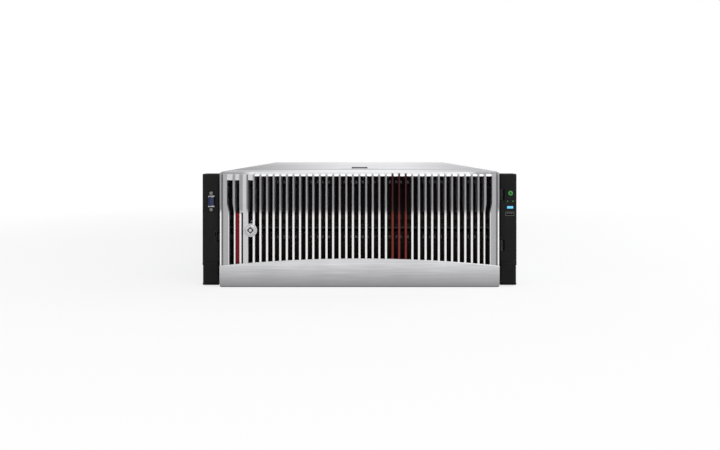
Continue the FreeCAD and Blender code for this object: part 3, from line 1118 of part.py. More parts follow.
slot_cover = block(("-slot_cover_width/2", "chassis_depth - sheet - slot_cover_sheet",
                    "slot_bottom - slot_cover_margin"),
                   ("slot_cover_width/2", "chassis_depth - sheet",
                    "slot_bottom + slot_tall + slot_cover_margin"))
finish(copies(slot_cover, [(x, "0", "0") for x in slot_middles]), "slot_covers")
finish(block(("0", "0", "0"), ("expansion_width", "expansion_end - expansion_start", "board_sheet")),
       "expansion_board",
       "-supply_left", "expansion_start", "cage_top")
edge_socket = block(("-edge_socket_width/2", "expansion_start + 30", "expansion_high"),
                    ("edge_socket_width/2", "expansion_start + 30 + edge_socket_length",
                     "expansion_high + edge_socket_height"))
finish(copies(edge_socket, [(x, "0", "0") for x in slot_middles]), "expansion_sockets")
lan = Solid("RearLan")
port_back = "port_face - port_depth"
lan.pad("XZ", port_back, "port_depth", rectangle("lan_left", "board_high", "lan_left + lan_wide",
                                                 "board_high + lan_tall"))
lan_hole_low = "board_high + (lan_tall - lan_hole_tall)/2"
lan.cut("XZ", "port_face - lan_hole_depth", "lan_hole_depth + 1",
        rectangle("lan_left + lan_hole_gap", lan_hole_low, "lan_left + lan_hole_gap + lan_hole_wide",
                  f"{lan_hole_low} + lan_hole_tall"),
        rectangle("lan_left + lan_wide - lan_hole_gap - lan_hole_wide", lan_hole_low,
                  "lan_left + lan_wide - lan_hole_gap",
                  f"{lan_hole_low} + lan_hole_tall"))

stack = Solid("RearUsb")
stack.pad("XZ", port_back, "port_depth",
          rectangle("stack_left", "board_high", "stack_left + usb_wide + 1.6", "board_high + stack_tall"))
for middle in ("board_high + stack_tall/4", "board_high + 3*stack_tall/4"):
    stack.cut("XZ", "port_face - usb_depth", "usb_depth + 1",
              centred("stack_left + usb_wide/2 + 0.8", middle, "usb_wide - 2*usb_shell",
                      "usb_tall - 2*usb_shell"))
    stack.pad("XZ", "port_face - usb_depth - 0.5", "usb_depth - 0.5",
              centred("stack_left + usb_wide/2 + 0.8", f"{middle} + usb_tongue/2", "usb_wide - 3",
                      "usb_tongue"))

display = Solid("RearDisplay")
display_x = "display_left + display_wide/2"
display_z = "board_high + display_tall/2"
display.pad("XZ", port_back, "port_depth", centred(display_x, display_z, "display_wide", "display_tall"))
display.pad("XZ", "port_face", "display_shell", [
    (f"{display_x} - vga_long/2 + vga_taper", f"{display_z} - vga_wide/2"),
    (f"{display_x} + vga_long/2 - vga_taper", f"{display_z} - vga_wide/2"),
    (f"{display_x} + vga_long/2", f"{display_z} + vga_wide/2"),
    (f"{display_x} - vga_long/2", f"{display_z} + vga_wide/2")])
display.pad("XZ", "port_face", "display_shell - 1", Round(f"{display_x} - vga_post_span/2", display_z,
                                                          "vga_post_radius"),
            Round(f"{display_x} + vga_post_span/2", display_z, "vga_post_radius"))
finish(both(lan.body, stack.body, display.body), "rear_ports")

doc.recompute()
for thing in doc.Objects:
    if "Invalid" in thing.State or "Error" in thing.State:
        raise RuntimeError(f"{thing.Name} did not build: {thing.State}")

os.makedirs("parts", exist_ok=True)
for piece in PIECES:
    if piece.Shape.isNull() or not piece.Shape.isValid():
        raise RuntimeError(f"{piece.Label} has no sound shape")
    piece.Shape.exportStep(f"parts/{piece.Label}.step")
print(len(PIECES), "pieces")
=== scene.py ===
"""Looks of a 4U rack server, built around its CAD frame: finishes, small fittings, light and camera."""
import json
import logging
import math
from contextlib import contextmanager
from dataclasses import dataclass
from enum import Enum
from functools import cache
from itertools import product
from typing import Any, Callable, Iterator, Optional, Sequence

import bmesh
import bpy
from mathutils import Matrix, Vector

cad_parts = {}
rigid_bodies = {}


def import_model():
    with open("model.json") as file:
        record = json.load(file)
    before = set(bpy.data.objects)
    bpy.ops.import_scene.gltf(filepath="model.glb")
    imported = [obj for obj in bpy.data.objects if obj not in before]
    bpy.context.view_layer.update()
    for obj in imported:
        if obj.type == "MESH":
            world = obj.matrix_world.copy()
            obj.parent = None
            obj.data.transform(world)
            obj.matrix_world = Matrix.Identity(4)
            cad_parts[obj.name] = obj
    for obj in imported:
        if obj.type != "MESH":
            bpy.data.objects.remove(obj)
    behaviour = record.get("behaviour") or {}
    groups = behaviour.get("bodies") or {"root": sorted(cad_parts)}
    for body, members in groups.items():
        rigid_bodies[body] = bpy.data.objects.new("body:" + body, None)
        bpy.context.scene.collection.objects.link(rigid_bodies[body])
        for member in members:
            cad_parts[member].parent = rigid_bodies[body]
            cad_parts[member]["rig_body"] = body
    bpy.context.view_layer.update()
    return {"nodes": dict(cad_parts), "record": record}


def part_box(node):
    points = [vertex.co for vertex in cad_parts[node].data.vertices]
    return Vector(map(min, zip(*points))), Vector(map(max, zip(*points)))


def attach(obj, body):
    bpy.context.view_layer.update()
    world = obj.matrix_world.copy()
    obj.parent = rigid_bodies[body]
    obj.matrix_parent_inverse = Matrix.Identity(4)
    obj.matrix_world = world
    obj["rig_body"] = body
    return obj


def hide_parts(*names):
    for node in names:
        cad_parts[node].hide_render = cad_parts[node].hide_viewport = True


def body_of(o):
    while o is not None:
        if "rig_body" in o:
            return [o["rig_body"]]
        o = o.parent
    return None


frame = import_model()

log = logging.getLogger("rack_server")

Piece = bpy.types.Object
Tree = bpy.types.NodeTree
Socket = bpy.types.NodeSocket
Face = bmesh.types.BMFace
Point = Sequence[float]
Pair = tuple[float, float]
Triple = tuple[float, float, float]

MM = 0.001
BRACKET_SHEET = 2.0 * MM
RACK_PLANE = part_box("ear_brackets")[0].y + BRACKET_SHEET
FULL_TURN = 2 * math.pi
TO_FRONT, TO_REAR, TO_RIGHT, TO_TOP = (0, -1, 0), (0, 1, 0), (1, 0, 0), (0, 0, 1)
SAME_WAY = 0.95
MERGE = 0.002 * MM
NODE_MERGE = 0.004 * MM
FLAT_WITHIN = math.radians(0.05)
MIRROR = Matrix.Diagonal((-1, 1, 1, 1))
SLOTS = {row["node"]: row["material_slot"] for row in frame["record"]["subparts"]}
# A Mix node has its colours behind its numbers and vectors, under the same names.
COLOUR_A, COLOUR_B, COLOUR_OUT = 6, 7, 2


def at(x: float, y: float, z: float) -> Vector:
    """Metres in the frame of the part from millimetres measured from the rack plane."""
    return Vector((x * MM, y * MM + RACK_PLANE, z * MM))


def depth_of(place: float) -> float:
    """Millimetres behind the rack plane from metres in the frame of the part."""
    return (place - RACK_PLANE) / MM


def moved(x: float = 0, y: float = 0, z: float = 0) -> Matrix:
    """A move by millimetres."""
    return Matrix.Translation((x * MM, y * MM, z * MM))


def block(middle: Point, half: Point, depths: Point) -> tuple[Point, Point]:
    """Both corners of a block from its middle and half its size, across and up, and its front and back."""
    (x, z), (wide, tall) = middle, half
    return (x - wide, depths[0], z - tall), (x + wide, depths[1], z + tall)


def linear(digits: str) -> tuple[float, ...]:
    """The linear colour that a shader takes, with full alpha, from the hex digits of an sRGB colour."""
    parts = (int(digits[k:k + 2], 16) / 255 for k in (0, 2, 4))
    return (*(p / 12.92 if p <= 0.04045 else ((p + 0.055) / 1.055) ** 2.4 for p in parts), 1.0)


def adjust(holder: Any, **settings: Any) -> None:
    """Sets properties by their names."""
    for name, setting in settings.items():
        setattr(holder, name, setting)


def cleared(holder: Any) -> Tree:
    """Turns on the nodes of a material or a world and clears them.

    Args:
        holder: The material or the world.

    Returns:
        Its empty node tree.
    """
    holder.use_nodes = True
    holder.node_tree.nodes.clear()
    return holder.node_tree


def add(tree: Tree, kind: str, inputs: Optional[dict] = None, **settings: Any) -> bpy.types.Node:
    """Adds a node with its settings, and sets or links its inputs.

    Args:
        tree: The node tree that gets the node.
        kind: The node's type, without the ShaderNode in front.
        inputs: Values or output sockets by input name or number.
        **settings: The node's own properties.

    Returns:
        The new node.
    """
    node = tree.nodes.new("ShaderNode" + kind)
    adjust(node, **settings)
    for name, value in (inputs or {}).items():
        if isinstance(value, Socket):
            tree.links.new(value, node.inputs[name])
        else:
            node.inputs[name].default_value = value
    return node


class Pattern(Enum):
    """How a surface was made, which gives its pattern."""

    MOULDED = "fine even grain"
    BRUSHED = "lines along one axis"
    SPANGLED = "crystals of a zinc coat"
    COATED = "ripple of a powder coat"
    PRINTED = "tracks under a solder mask"
    TURNED = "rings of a lathe tool"


@dataclass(frozen=True)
class Finish:
    """One real finish: its colour, how it reflects, and the size of its pattern in millimetres."""

    name: str
    colour: str
    second: str
    roughness: float
    size_mm: float
    relief_mm: float
    metallic: float = 0.0
    pattern: Pattern = Pattern.MOULDED
    roughness_spread: float = 0.08
    specular: float = 0.5
    stretch: Triple = (1.0, 1.0, 1.0)
    centre: Triple = (0.0, 0.0, 0.0)
    glow: float = 0.0

    def make(self) -> bpy.types.Material:
        """Builds the material.

        Returns:
            The new material.
        """
        material = bpy.data.materials.new(self.name)
        tree = cleared(material)
        height, mix = self.field(tree)
        colours = {"Factor": mix, COLOUR_A: linear(self.colour), COLOUR_B: linear(self.second)}
        colour = add(tree, "Mix", colours, data_type="RGBA").outputs[COLOUR_OUT]
        rough = add(tree, "MapRange", {"Value": height, "To Min": self.roughness - self.roughness_spread,
                                       "To Max": self.roughness + self.roughness_spread})
        bump = add(tree, "Bump", {"Height": height, "Strength": 1.0, "Distance": self.relief_mm * MM})
        shader = add(tree, "BsdfPrincipled", {
            "Base Color": self.tint(tree, colour), "Metallic": self.metallic, "Roughness": rough.outputs[0],
            "Specular IOR Level": self.specular, "Normal": bump.outputs["Normal"],
            "Emission Color": linear(self.second), "Emission Strength": self.glow})
        add(tree, "OutputMaterial", {"Surface": shader.outputs[0]})
        return material

    def tint(self, tree: Tree, colour: Socket) -> Socket:
        """Lets a finish change its colour over the piece; a plain one keeps it."""
        return colour

    def field(self, tree: Tree) -> tuple[Socket, Socket]:
        """Lays the pattern.

        Args:
            tree: The material's nodes.

        Returns:
            The height of the relief and the mix of the two colours.
        """
        fine = 1 / (self.size_mm * MM)
        place = add(tree, "TexCoord").outputs["Object"]
        centred = add(tree, "Mapping", {"Vector": place, "Location": [-c for c in self.centre]}).outputs[0]
        scaling = [s * fine for s in self.stretch]
        scaled = add(tree, "Mapping", {"Vector": centred, "Scale": scaling}).outputs[0]
        if self.pattern is Pattern.SPANGLED:
            cells = add(tree, "TexVoronoi", {"Vector": scaled, "Scale": 1.0})
            grey = add(tree, "SeparateColor", {"Color": cells.outputs["Color"]}).outputs["Red"]
            dust = add(tree, "TexNoise", {"Vector": scaled, "Scale": 9.0, "Detail": 3.0})
            return dust.outputs["Fac"], grey
        if self.pattern is Pattern.PRINTED:
            tracks = add(tree, "TexBrick", {
                "Vector": scaled, "Scale": 1.0, "Mortar Size": 0.06, "Brick Width": 3.1, "Row Height": 0.5,
                "Color1": (0, 0, 0, 1), "Color2": (0.15, 0.15, 0.15, 1), "Mortar": (1, 1, 1, 1)})
            return tracks.outputs["Color"], tracks.outputs["Color"]
        if self.pattern is Pattern.TURNED:
            rings = add(tree, "TexWave", {"Vector": scaled, "Scale": 1.0, "Distortion": 0.4},
                        wave_type="RINGS", rings_direction="Y")
            return rings.outputs["Fac"], rings.outputs["Fac"]
        grain = add(tree, "TexNoise", {"Vector": scaled, "Scale": 1.0, "Detail": 3.0, "Roughness": 0.55})
        cloud = add(tree, "TexNoise", {"Vector": centred, "Scale": 22.0, "Detail": 2.0})
        both = add(tree, "Mix", {"Factor": 0.35, 2: grain.outputs["Fac"], 3: cloud.outputs["Fac"]},
                   data_type="FLOAT")
        return grain.outputs["Fac"], both.outputs[0]


class Source(Enum):
    """What the zones of a finish are measured by."""

    SIDE = "distance from the middle plane"
    ACROSS = "place across the front"
    DEPTH = "place from front to rear"
    HEIGHT = "height above the ground"
    FRONT = "how far a surface faces the front"
    UP = "how far a surface faces up"
    FLANK = "how far a surface faces either side"


Bounds = tuple[tuple[Source, float, float], ...]


def by(source: Source, start: float, full: float) -> Bounds:
    """Bounds a zone by where it starts and where it is full."""
    return ((source, start, full),)


def behind(start: float, full: float) -> Bounds:
    """Bounds a zone by metres behind the rack plane."""
    return by(Source.DEPTH, RACK_PLANE + start, RACK_PLANE + full)


@dataclass(frozen=True)
class Zone:
    """A part of a surface with another colour, inside all of its bounds; most zones are painted light or
    shade.
    """

    colour: str
    bounds: Bounds


@dataclass(frozen=True)
class PaintedLightFinish(Finish):
    """A finish with zones over parts of the piece, most of them painted light and shade."""

    zones: tuple[Zone, ...] = ()

    def tint(self, tree: Tree, colour: Socket) -> Socket:
        """Lays the zones, most of them painted light and shade, over the plain colour, one after the other.

        Args:
            tree: The material's nodes.
            colour: The plain colour.

        Returns:
            The colour with its zones.
        """
        coords = add(tree, "TexCoord").outputs
        normal = add(tree, "SeparateXYZ", {"Vector": coords["Normal"]}).outputs
        place = add(tree, "SeparateXYZ", {"Vector": coords["Object"]}).outputs
        sources = {
            Source.SIDE: add(tree, "Math", {0: place["X"]}, operation="ABSOLUTE").outputs[0],
            Source.ACROSS: place["X"], Source.DEPTH: place["Y"], Source.HEIGHT: place["Z"],
            Source.FRONT: add(tree, "Math", {0: normal["Y"], 1: -1.0}, operation="MULTIPLY").outputs[0],
            Source.UP: normal["Z"],
            Source.FLANK: add(tree, "Math", {0: normal["X"]}, operation="ABSOLUTE").outputs[0],
        }
        for zone in self.zones:
            mask = None
            for source, start, full in zone.bounds:
                limits = {"Value": sources[source], "From Min": start, "From Max": full}
                share = add(tree, "MapRange", limits).outputs[0]
                if mask is not None:
                    share = add(tree, "Math", {0: mask, 1: share}, operation="MULTIPLY").outputs[0]
                mask = share
            colour = add(tree, "Mix", {"Factor": mask, COLOUR_A: colour, COLOUR_B: linear(zone.colour)},
                         data_type="RGBA").outputs[COLOUR_OUT]
        return colour


# fronts below the crease, which take a painted highlight
HIGHLIGHT_BELOW_CREASE = by(Source.FRONT, 0.4, 0.8) + by(Source.HEIGHT, 0.1180, 0.1080)
UPPER_HALF = by(Source.HEIGHT, 0.112, 0.120)
LOWER_HALF = by(Source.HEIGHT, 0.120, 0.112)
RAIL_TOP = by(Source.HEIGHT, 0.1712, 0.1718)
OUTER_RIM = by(Source.SIDE, 0.2099, 0.2104)
LOCK_POST_END = by(Source.ACROSS, -0.1690, -0.1696)
# faces that look sideways, which painted light lightens
LIT_FLANKS = by(Source.FLANK, 0.75, 0.92)
# faces that look up, which take a painted highlight
LIT_FROM_ABOVE = by(Source.UP, 0.3, 0.5)
FRONT_PLATE = behind(0.0905, 0.0895)
# the painted shade at the cover's left and right is full at the front and fades toward the rear
COVER_FADE = behind(1.10, 0.10)
ALONG_X = (0.012, 1.0, 1.0)
ALONG_Y = (1.0, 0.012, 1.0)
ALONG_Z = (1.0, 1.0, 0.012)
# Moulded grain, brush lines and lathe rings would be too fine to show, so they are drawn coarser than real.
FINISHES = {
    # anodised aluminium, extruded and blasted: satin, soft reflections. Painted highlights on the fronts
    # below the crease, on the
    # lower half of the outer rim and on faces that look up; flanks lightened by painted light; painted shade
    # on the upper end
    # of the lock post and on the ends of the rail top; besides, a lighter lock post, a greyer rail top, and
    # grey strips and a dark line on the outer posts.
    "silver_anodised": PaintedLightFinish(
        "anodised_aluminium", "A2A2A3", "969698", 0.38, 0.5, 0.004, 0.6, Pattern.BRUSHED, stretch=ALONG_Z,
        zones=(Zone("F0F0EF", HIGHLIGHT_BELOW_CREASE),
               Zone("CCCCCE", by(Source.ACROSS, -0.1776, -0.1770) + LOCK_POST_END),
               Zone("707072", by(Source.ACROSS, -0.1722, -0.1712) + UPPER_HALF + LOCK_POST_END),
               Zone("ACACAE", by(Source.SIDE, 0.1990, 0.1996)),
               Zone("808082", by(Source.SIDE, 0.2068, 0.2074)),
               Zone("9E9EA0", OUTER_RIM), Zone("F6F6F6", OUTER_RIM + LOWER_HALF),
               Zone("FAFAFA", LIT_FROM_ABOVE), Zone("D8D8DA", RAIL_TOP),
               Zone("969698", RAIL_TOP + by(Source.SIDE, 0.165, 0.180)), Zone("B8B8BA", LIT_FLANKS))),
    # brushed aluminium with a clear anodised coat: fine lines along the band; painted shade darkens it toward
    # the bottom, and a painted shadow lies on the hem
    "silver_brushed": PaintedLightFinish(
        "brushed_aluminium", "F8F8F9", "A0A0A2", 0.36, 2.2, 0.004, 0.8, Pattern.BRUSHED,
        stretch=(0.03, 1.0, 1.0), zones=(Zone("8E8E90", by(Source.HEIGHT, 0.036, 0.001)),
                                         Zone("3C3C3E", by(Source.HEIGHT, 0.0022, 0.0016)))),
    # red dyed anodised aluminium: deep colour in soft metal reflections, a painted highlight on the fronts
    # below the crease, and flanks lightened by painted light
    "red_anodised": PaintedLightFinish(
        "red_anodised_aluminium", "381012", "2E0C0E", 0.4, 0.5, 0.004, 0.4, Pattern.BRUSHED, stretch=ALONG_Z,
        zones=(Zone("742114", HIGHLIGHT_BELOW_CREASE), Zone("4A1216", LIT_FLANKS))),
    # red ABS with a soft sheen on the grip; the slide behind the grip is painted near black as painted shade
    "red_plastic": PaintedLightFinish(
        "red_abs", "7E0C14", "700A10", 0.42, 0.5, 0.006, specular=0.15,
        zones=(Zone("141414", behind(-0.0325, -0.0315)),)),
    # polished chromed zinc casting: near mirror with faint rings from turning
    "polished_steel": Finish(
        "chromed_zinc", "D4D4D5", "B6B6B8", 0.18, 0.7, 0.002, 1.0, Pattern.TURNED, roughness_spread=0.04,
        centre=(-0.1658, 0.0, 0.0866)),
    # black moulded PC-ABS with a fine spark-eroded grain: no gloss, a little lighter where it catches light
    "black_plastic": Finish("black_pc_abs", "0E0E0E", "131313", 0.58, 0.45, 0.012, specular=0.16),
    # zinc plated sheet steel: pale crystals a few millimetres wide
    "zinc_steel": Finish("zinc_plated_steel", "B4B7BA", "A2A6AA", 0.4, 5.0, 0.003, 0.85, Pattern.SPANGLED),
    # galvanised sheet, rolled and satin: pale grey with long roll lines; a broad painted sheen along its
    # middle, toward the rear
    # and on the front plate; painted shade toward the left and right, on the sides of the front plate, in a
    # band behind it and on the side edges
    "cover_steel": PaintedLightFinish(
        "galvanised_sheet", "E8E8E9", "DEDEE0", 0.58, 0.9, 0.003, 0.2, Pattern.BRUSHED, stretch=ALONG_X,
        specular=0.25, zones=(
            Zone("F2F2F3", behind(0.40, 0.76)), Zone("B4B4B6", behind(0.200, 0.095)),
            Zone("929294", by(Source.ACROSS, -0.040, -0.190) + COVER_FADE),
            Zone("B0B0B2", by(Source.ACROSS, 0.090, 0.200) + COVER_FADE),
            Zone("F2F2F3", FRONT_PLATE), Zone("B4B4B6", FRONT_PLATE + by(Source.SIDE, 0.060, 0.190)),
            Zone("707072", by(Source.SIDE, 0.2150, 0.2166)))),
    # steel under black powder coat: dull, with a slight ripple
    "dark_steel": Finish("powder_coated_steel", "26272A", "2E2F32", 0.5, 1.2, 0.02, 0.0, Pattern.COATED),
    # ground steel pin: lengthwise lines and sharp highlights
    "steel_pin": Finish(
        "ground_steel", "A8A8AA", "98989A", 0.3, 0.3, 0.002, 1.0, Pattern.BRUSHED, stretch=ALONG_Z),
    # translucent green polycarbonate with a faint lamp behind it: dark green, barely glowing
    "green_button": Finish(
        "green_polycarbonate", "0A2A0E", "0E3A14", 0.35, 0.6, 0.004, specular=0.2, glow=0.05),
    # translucent blue polycarbonate with the lamp behind it on: a pale blue glow
    "blue_button": Finish("blue_polycarbonate", "3AA6E0", "74D8FC", 0.3, 0.8, 0.003, glow=0.4),
    # clear green acrylic of a lamp that is barely lit: dark, smooth and shiny
    "green_lens": Finish("green_acrylic", "10301A", "184524", 0.2, 0.8, 0.002, specular=0.3, glow=0.06),
    # blue moulded nylon of a display socket: even and half dull
    "blue_plastic": Finish("blue_nylon", "2A3E78", "223468", 0.5, 0.4, 0.006),
    # black moulded nylon of sockets and fans: near black, with a soft sheen
    "socket_black": Finish("black_nylon", "1A1A1B", "212122", 0.5, 0.5, 0.01, specular=0.35),
    # nickel plated brass: pale metal, barely warm, soft shine
    "nickel": Finish("nickel_plated_brass", "BEBDBB", "ABABA9", 0.28, 0.4, 0.002, 1.0),
    # nickel plate gone dull from plugs that were pushed in and out: grey, with a broad shine
    "dull_nickel": Finish("worn_nickel_plate", "807F7D", "6E6D6B", 0.42, 0.4, 0.002, 1.0),
    # drawn nickel plated shell of a display socket: bright ends, long sides darkened by painted shade
    "shell_nickel": PaintedLightFinish(
        "drawn_nickel_shell", "CFCECC", "BEBDBB", 0.34, 0.4, 0.002, 1.0,
        zones=(Zone("3A3D44", by(Source.HEIGHT, 0.1228, 0.1236) + by(Source.HEIGHT, 0.1368, 0.1360)),)),
    # fibreglass board under green solder mask, with the copper tracks showing through
    "board_green": Finish("solder_mask_board", "0E4A2A", "1B6B3F", 0.4, 4.0, 0.02, 0.0, Pattern.PRINTED),
    # extruded aluminium, left as drawn: bright, with long lines
    "sink_aluminium": Finish(
        "extruded_aluminium", "BFC0C2", "B0B1B4", 0.36, 0.4, 0.004, 0.95, Pattern.BRUSHED, stretch=ALONG_Y),
    # die-cast aluminium of a drive's shell: mid grey, slightly rippled
    "drive_metal": Finish("die_cast_aluminium", "8E9093", "7F8184", 0.45, 0.7, 0.01, 0.9, Pattern.COATED),
    # moulded plastic of the drive carriers: near black, barely red, half dull
    "drive_grey": Finish("grey_pc_abs", "120809", "180B0D", 0.5, 0.45, 0.01, specular=0.12),
    # moulded plastic of the parts a hand moves: dark red, with a soft sheen
    "catch_red": Finish("port_red_abs", "2E0C10", "280A0D", 0.45, 0.45, 0.006, specular=0.25),
    # zinc coated sheet of the power supplies: pale, with small crystals
    "supply_case": Finish("satin_zinc_sheet", "B0B2B5", "A3A5A9", 0.38, 3.0, 0.003, 0.88, Pattern.SPANGLED),
    # moulded plastic of the supply catches: plain green, with a soft sheen
    "tab_green": Finish("green_abs", "1D6B42", "185C38", 0.45, 0.45, 0.006),
    # gold plated contact springs: warm and shiny
    "gold": Finish(
        "gold_plated_contact", "D2A850", "C49A44", 0.25, 0.3, 0.002, 1.0, Pattern.BRUSHED, stretch=ALONG_Y),
    # moulded nylon of a plug tongue: dark bluish grey, half dull
    "tongue_grey": Finish("grey_nylon", "3E3E52", "363648", 0.5, 0.4, 0.006),
    # lit polycarbonate of the power button's ring and the status lamps: an even green glow
    "ring_green": Finish("lit_green_polycarbonate", "1E6A22", "3A9434", 0.3, 0.6, 0.003, glow=0.22),
}


@cache
def paint(finish: str) -> bpy.types.Material:
    """Builds the material of a finish at its first use."""
    return FINISHES[finish].make()


def wear(piece: Piece, finish: str) -> None:
    """Gives a piece one finish alone."""
    piece.data.materials.clear()
    piece.data.materials.append(paint(finish))


class Axis(Enum):
    """The way a rod runs, and the turn that brings a cylinder there."""

    X = (TO_RIGHT, (0, math.pi / 2, 0))
    Y = (TO_REAR, (math.pi / 2, 0, 0))
    Z = (TO_TOP, (0, 0, 0))


class Kind(Enum):
    """What is picked in edit mode, and what a mesh calls all of it."""

    FACE = "faces"
    EDGE = "edges"


# The functions that follow take places in millimetres from the rack plane and sizes in millimetres.


def alone(piece: Piece) -> None:
    """Makes a piece the only selected one and the active one.

    Args:
        piece: The piece.
    """
    bpy.ops.object.select_all(action="DESELECT")
    piece.select_set(True)
    bpy.context.view_layer.objects.active = piece


@contextmanager
def editing(piece: Piece) -> Iterator[None]:
    """Holds a piece in edit mode, at first with all of it selected.

    Args:
        piece: The piece.

    Yields:
        Nothing; the piece is in edit mode meanwhile.
    """
    alone(piece)
    bpy.ops.object.mode_set(mode="EDIT")
    bpy.ops.mesh.select_all(action="SELECT")
    yield
    bpy.ops.object.mode_set(mode="OBJECT")


def started(name: str) -> Piece:
    """Names the primitive just added and puts its place into its mesh.

    Args:
        name: Its name.

    Returns:
        The new piece.
    """
    piece = bpy.context.active_object
    piece.name = piece.data.name = name
    bpy.ops.object.transform_apply(location=True, rotation=True, scale=True)
    return piece


def cube(name: str, low: Point, high: Point) -> Piece:
    """Starts from a cube between its lowest and its highest corner."""
    bpy.ops.mesh.primitive_cube_add(size=1, location=(at(*low) + at(*high)) / 2, scale=at(*high) - at(*low))
    return started(name)


def rod(name: str, start: Point, radius: float, length: float, sides: int, axis: Axis = Axis.Y) -> Piece:
    """Starts from a cylinder that runs from its start along one axis.

    Args:
        name: Its name.
        start: The middle of its first end.
        radius: Its radius.
        length: Its length; a negative one runs backwards.
        sides: The number of its sides.
        axis: The axis it runs along.

    Returns:
        The new piece.
    """
    way, turn = axis.value
    bpy.ops.mesh.primitive_cylinder_add(vertices=sides, radius=radius * MM, depth=abs(length) * MM,
                                        location=at(*start) + Vector(way) * length * MM / 2, rotation=turn)
    return started(name)


def hoop(name: str, middle: Point, radius: float, wire: float, flat: float = 1.0, steps: int = 48,
         sides: int = 10) -> Piece:
    """Spins a round section into a closed ring that faces the front.

    Args:
        name: Its name.
        middle: The ring's middle.
        radius: From the middle to the middle of the wire.
        wire: The wire's radius.
        flat: The ring's depth as a share of the wire.
        steps: Steps of the spin.
        sides: Sides of the section.

    Returns:
        The new piece.
    """
    centre = at(*middle)
    bpy.ops.mesh.primitive_circle_add(vertices=sides, radius=wire * MM,
                                      location=centre + Vector(TO_RIGHT) * radius * MM)
    piece = started(name)
    with editing(piece):
        bpy.ops.mesh.spin(steps=steps, angle=FULL_TURN, center=centre, axis=TO_REAR)
        bpy.ops.mesh.select_all(action="SELECT")
        bpy.ops.transform.resize(value=(1, flat, 1), center_override=centre)
    return piece


def pick(piece: Piece, test: Callable[[Any], bool], kind: Kind = Kind.FACE) -> None:
    """Selects the faces or edges that pass a test, in edit mode.

    Args:
        piece: The piece in edit mode.
        test: Takes a face or an edge.
        kind: Faces or edges.
    """
    bpy.ops.mesh.select_mode(type=kind.name)
    bpy.ops.mesh.select_all(action="DESELECT")
    mesh = bmesh.from_edit_mesh(piece.data)
    for part in filter(test, getattr(mesh, kind.value)):
        part.select_set(True)
    mesh.select_flush_mode()
    bmesh.update_edit_mesh(piece.data)


def pick_facing(piece: Piece, way: Point) -> None:
    """Selects the faces that look one way, in edit mode."""
    pick(piece, lambda face: face.normal.dot(Vector(way)) > SAME_WAY)


def inside(face: Face, low: Vector, high: Vector) -> bool:
    """Tests if the middle of a face lies between two corners."""
    return all(a < c < b for a, c, b in zip(low, face.calc_center_median(), high))


def push(way: Point) -> None:
    """Extrudes what is selected."""
    bpy.ops.mesh.extrude_region_move(TRANSFORM_OT_translate={"value": Vector(way) * MM})


def inset(rim: float, rise: float = 0.0, each: bool = False) -> None:
    """Insets the selected faces by a rim and raises them, as a whole or each."""
    bpy.ops.mesh.inset(thickness=rim * MM, depth=rise * MM, use_individual=each)


def faced(piece: Piece, way: Point, rim: float, rise: float = 0.0, depth: float = 0.0) -> Piece:
    """Raises or sinks the face that looks one way, inside a rim.

    Args:
        piece: The piece.
        way: Where the face looks.
        rim: The width of the rim.
        rise: How far the face rises, with sloping sides.
        depth: How deep it sinks, with straight sides.

    Returns:
        The piece.
    """
    with editing(piece):
        pick_facing(piece, way)
        inset(rim, rise)
        if depth:
            push(Vector(way) * -depth)
    return piece


def split(place: Point, way: Point) -> None:
    """Cuts the whole mesh in edit mode along a plane through a place, keeping both halves."""
    bpy.ops.mesh.select_all(action="SELECT")
    bpy.ops.mesh.bisect(plane_co=at(*place), plane_no=way)


def modified(piece: Piece, kind: str, **settings: Any) -> Piece:
    """Applies a modifier to a piece.

    Args:
        piece: The piece.
        kind: The modifier's type.
        **settings: The modifier's own properties.

    Returns:
        The piece.
    """
    alone(piece)
    modifier = piece.modifiers.new(kind.lower(), kind)
    adjust(modifier, **settings)
    bpy.ops.object.modifier_apply(modifier=modifier.name)
    return piece


def round_edges(piece: Piece, width: float, steps: int = 2, angle: float = 40.0) -> Piece:
    """Bevels every edge sharper than an angle in degrees, by a width."""
    return modified(piece, "BEVEL", width=width * MM, segments=steps, limit_method="ANGLE",
                    angle_limit=math.radians(angle), use_clamp_overlap=True)


def repeat(piece: Piece, count: int, step: Point) -> Piece:
    """Repeats a piece's shape in a row inside its own mesh, by a step."""
    return modified(piece, "ARRAY", count=count, use_relative_offset=False, use_constant_offset=True,
                    constant_offset_displace=Vector(step) * MM)


def joined(name: str, first: Piece, *others: Piece) -> Piece:
    """Joins pieces into the first one and names it.

    Args:
        name: The name of the whole.
        first: The piece that takes the others up.
        *others: The other pieces.

    Returns:
        The whole.
    """
    alone(first)
    for other in others:
        other.select_set(True)
    bpy.ops.object.join()
    first.name = first.data.name = name
    return first


def from_node(name: str, node: str) -> Piece:
    """Takes a merged copy of a CAD node to work on.

    Args:
        name: Its name.
        node: The CAD node.

    Returns:
        The copy, its flat faces whole.
    """
    piece = bpy.data.objects.new(name, frame["nodes"][node].data.copy())
    piece.data.name = name
    bpy.context.scene.collection.objects.link(piece)
    with editing(piece):
        bpy.ops.mesh.remove_doubles(threshold=NODE_MERGE)
        bpy.ops.mesh.dissolve_limited(angle_limit=FLAT_WITHIN)
    return piece


def cup(name: str, corners: tuple[Point, Point], wall: float, floor: float = 0.3,
        way: Point = TO_FRONT) -> Piece:
    """Hollows a block into a cup that is open one way and has walls and a floor of some thickness."""
    low, high = corners
    return faced(cube(name, low, high), way, wall, depth=high[1] - low[1] - floor)


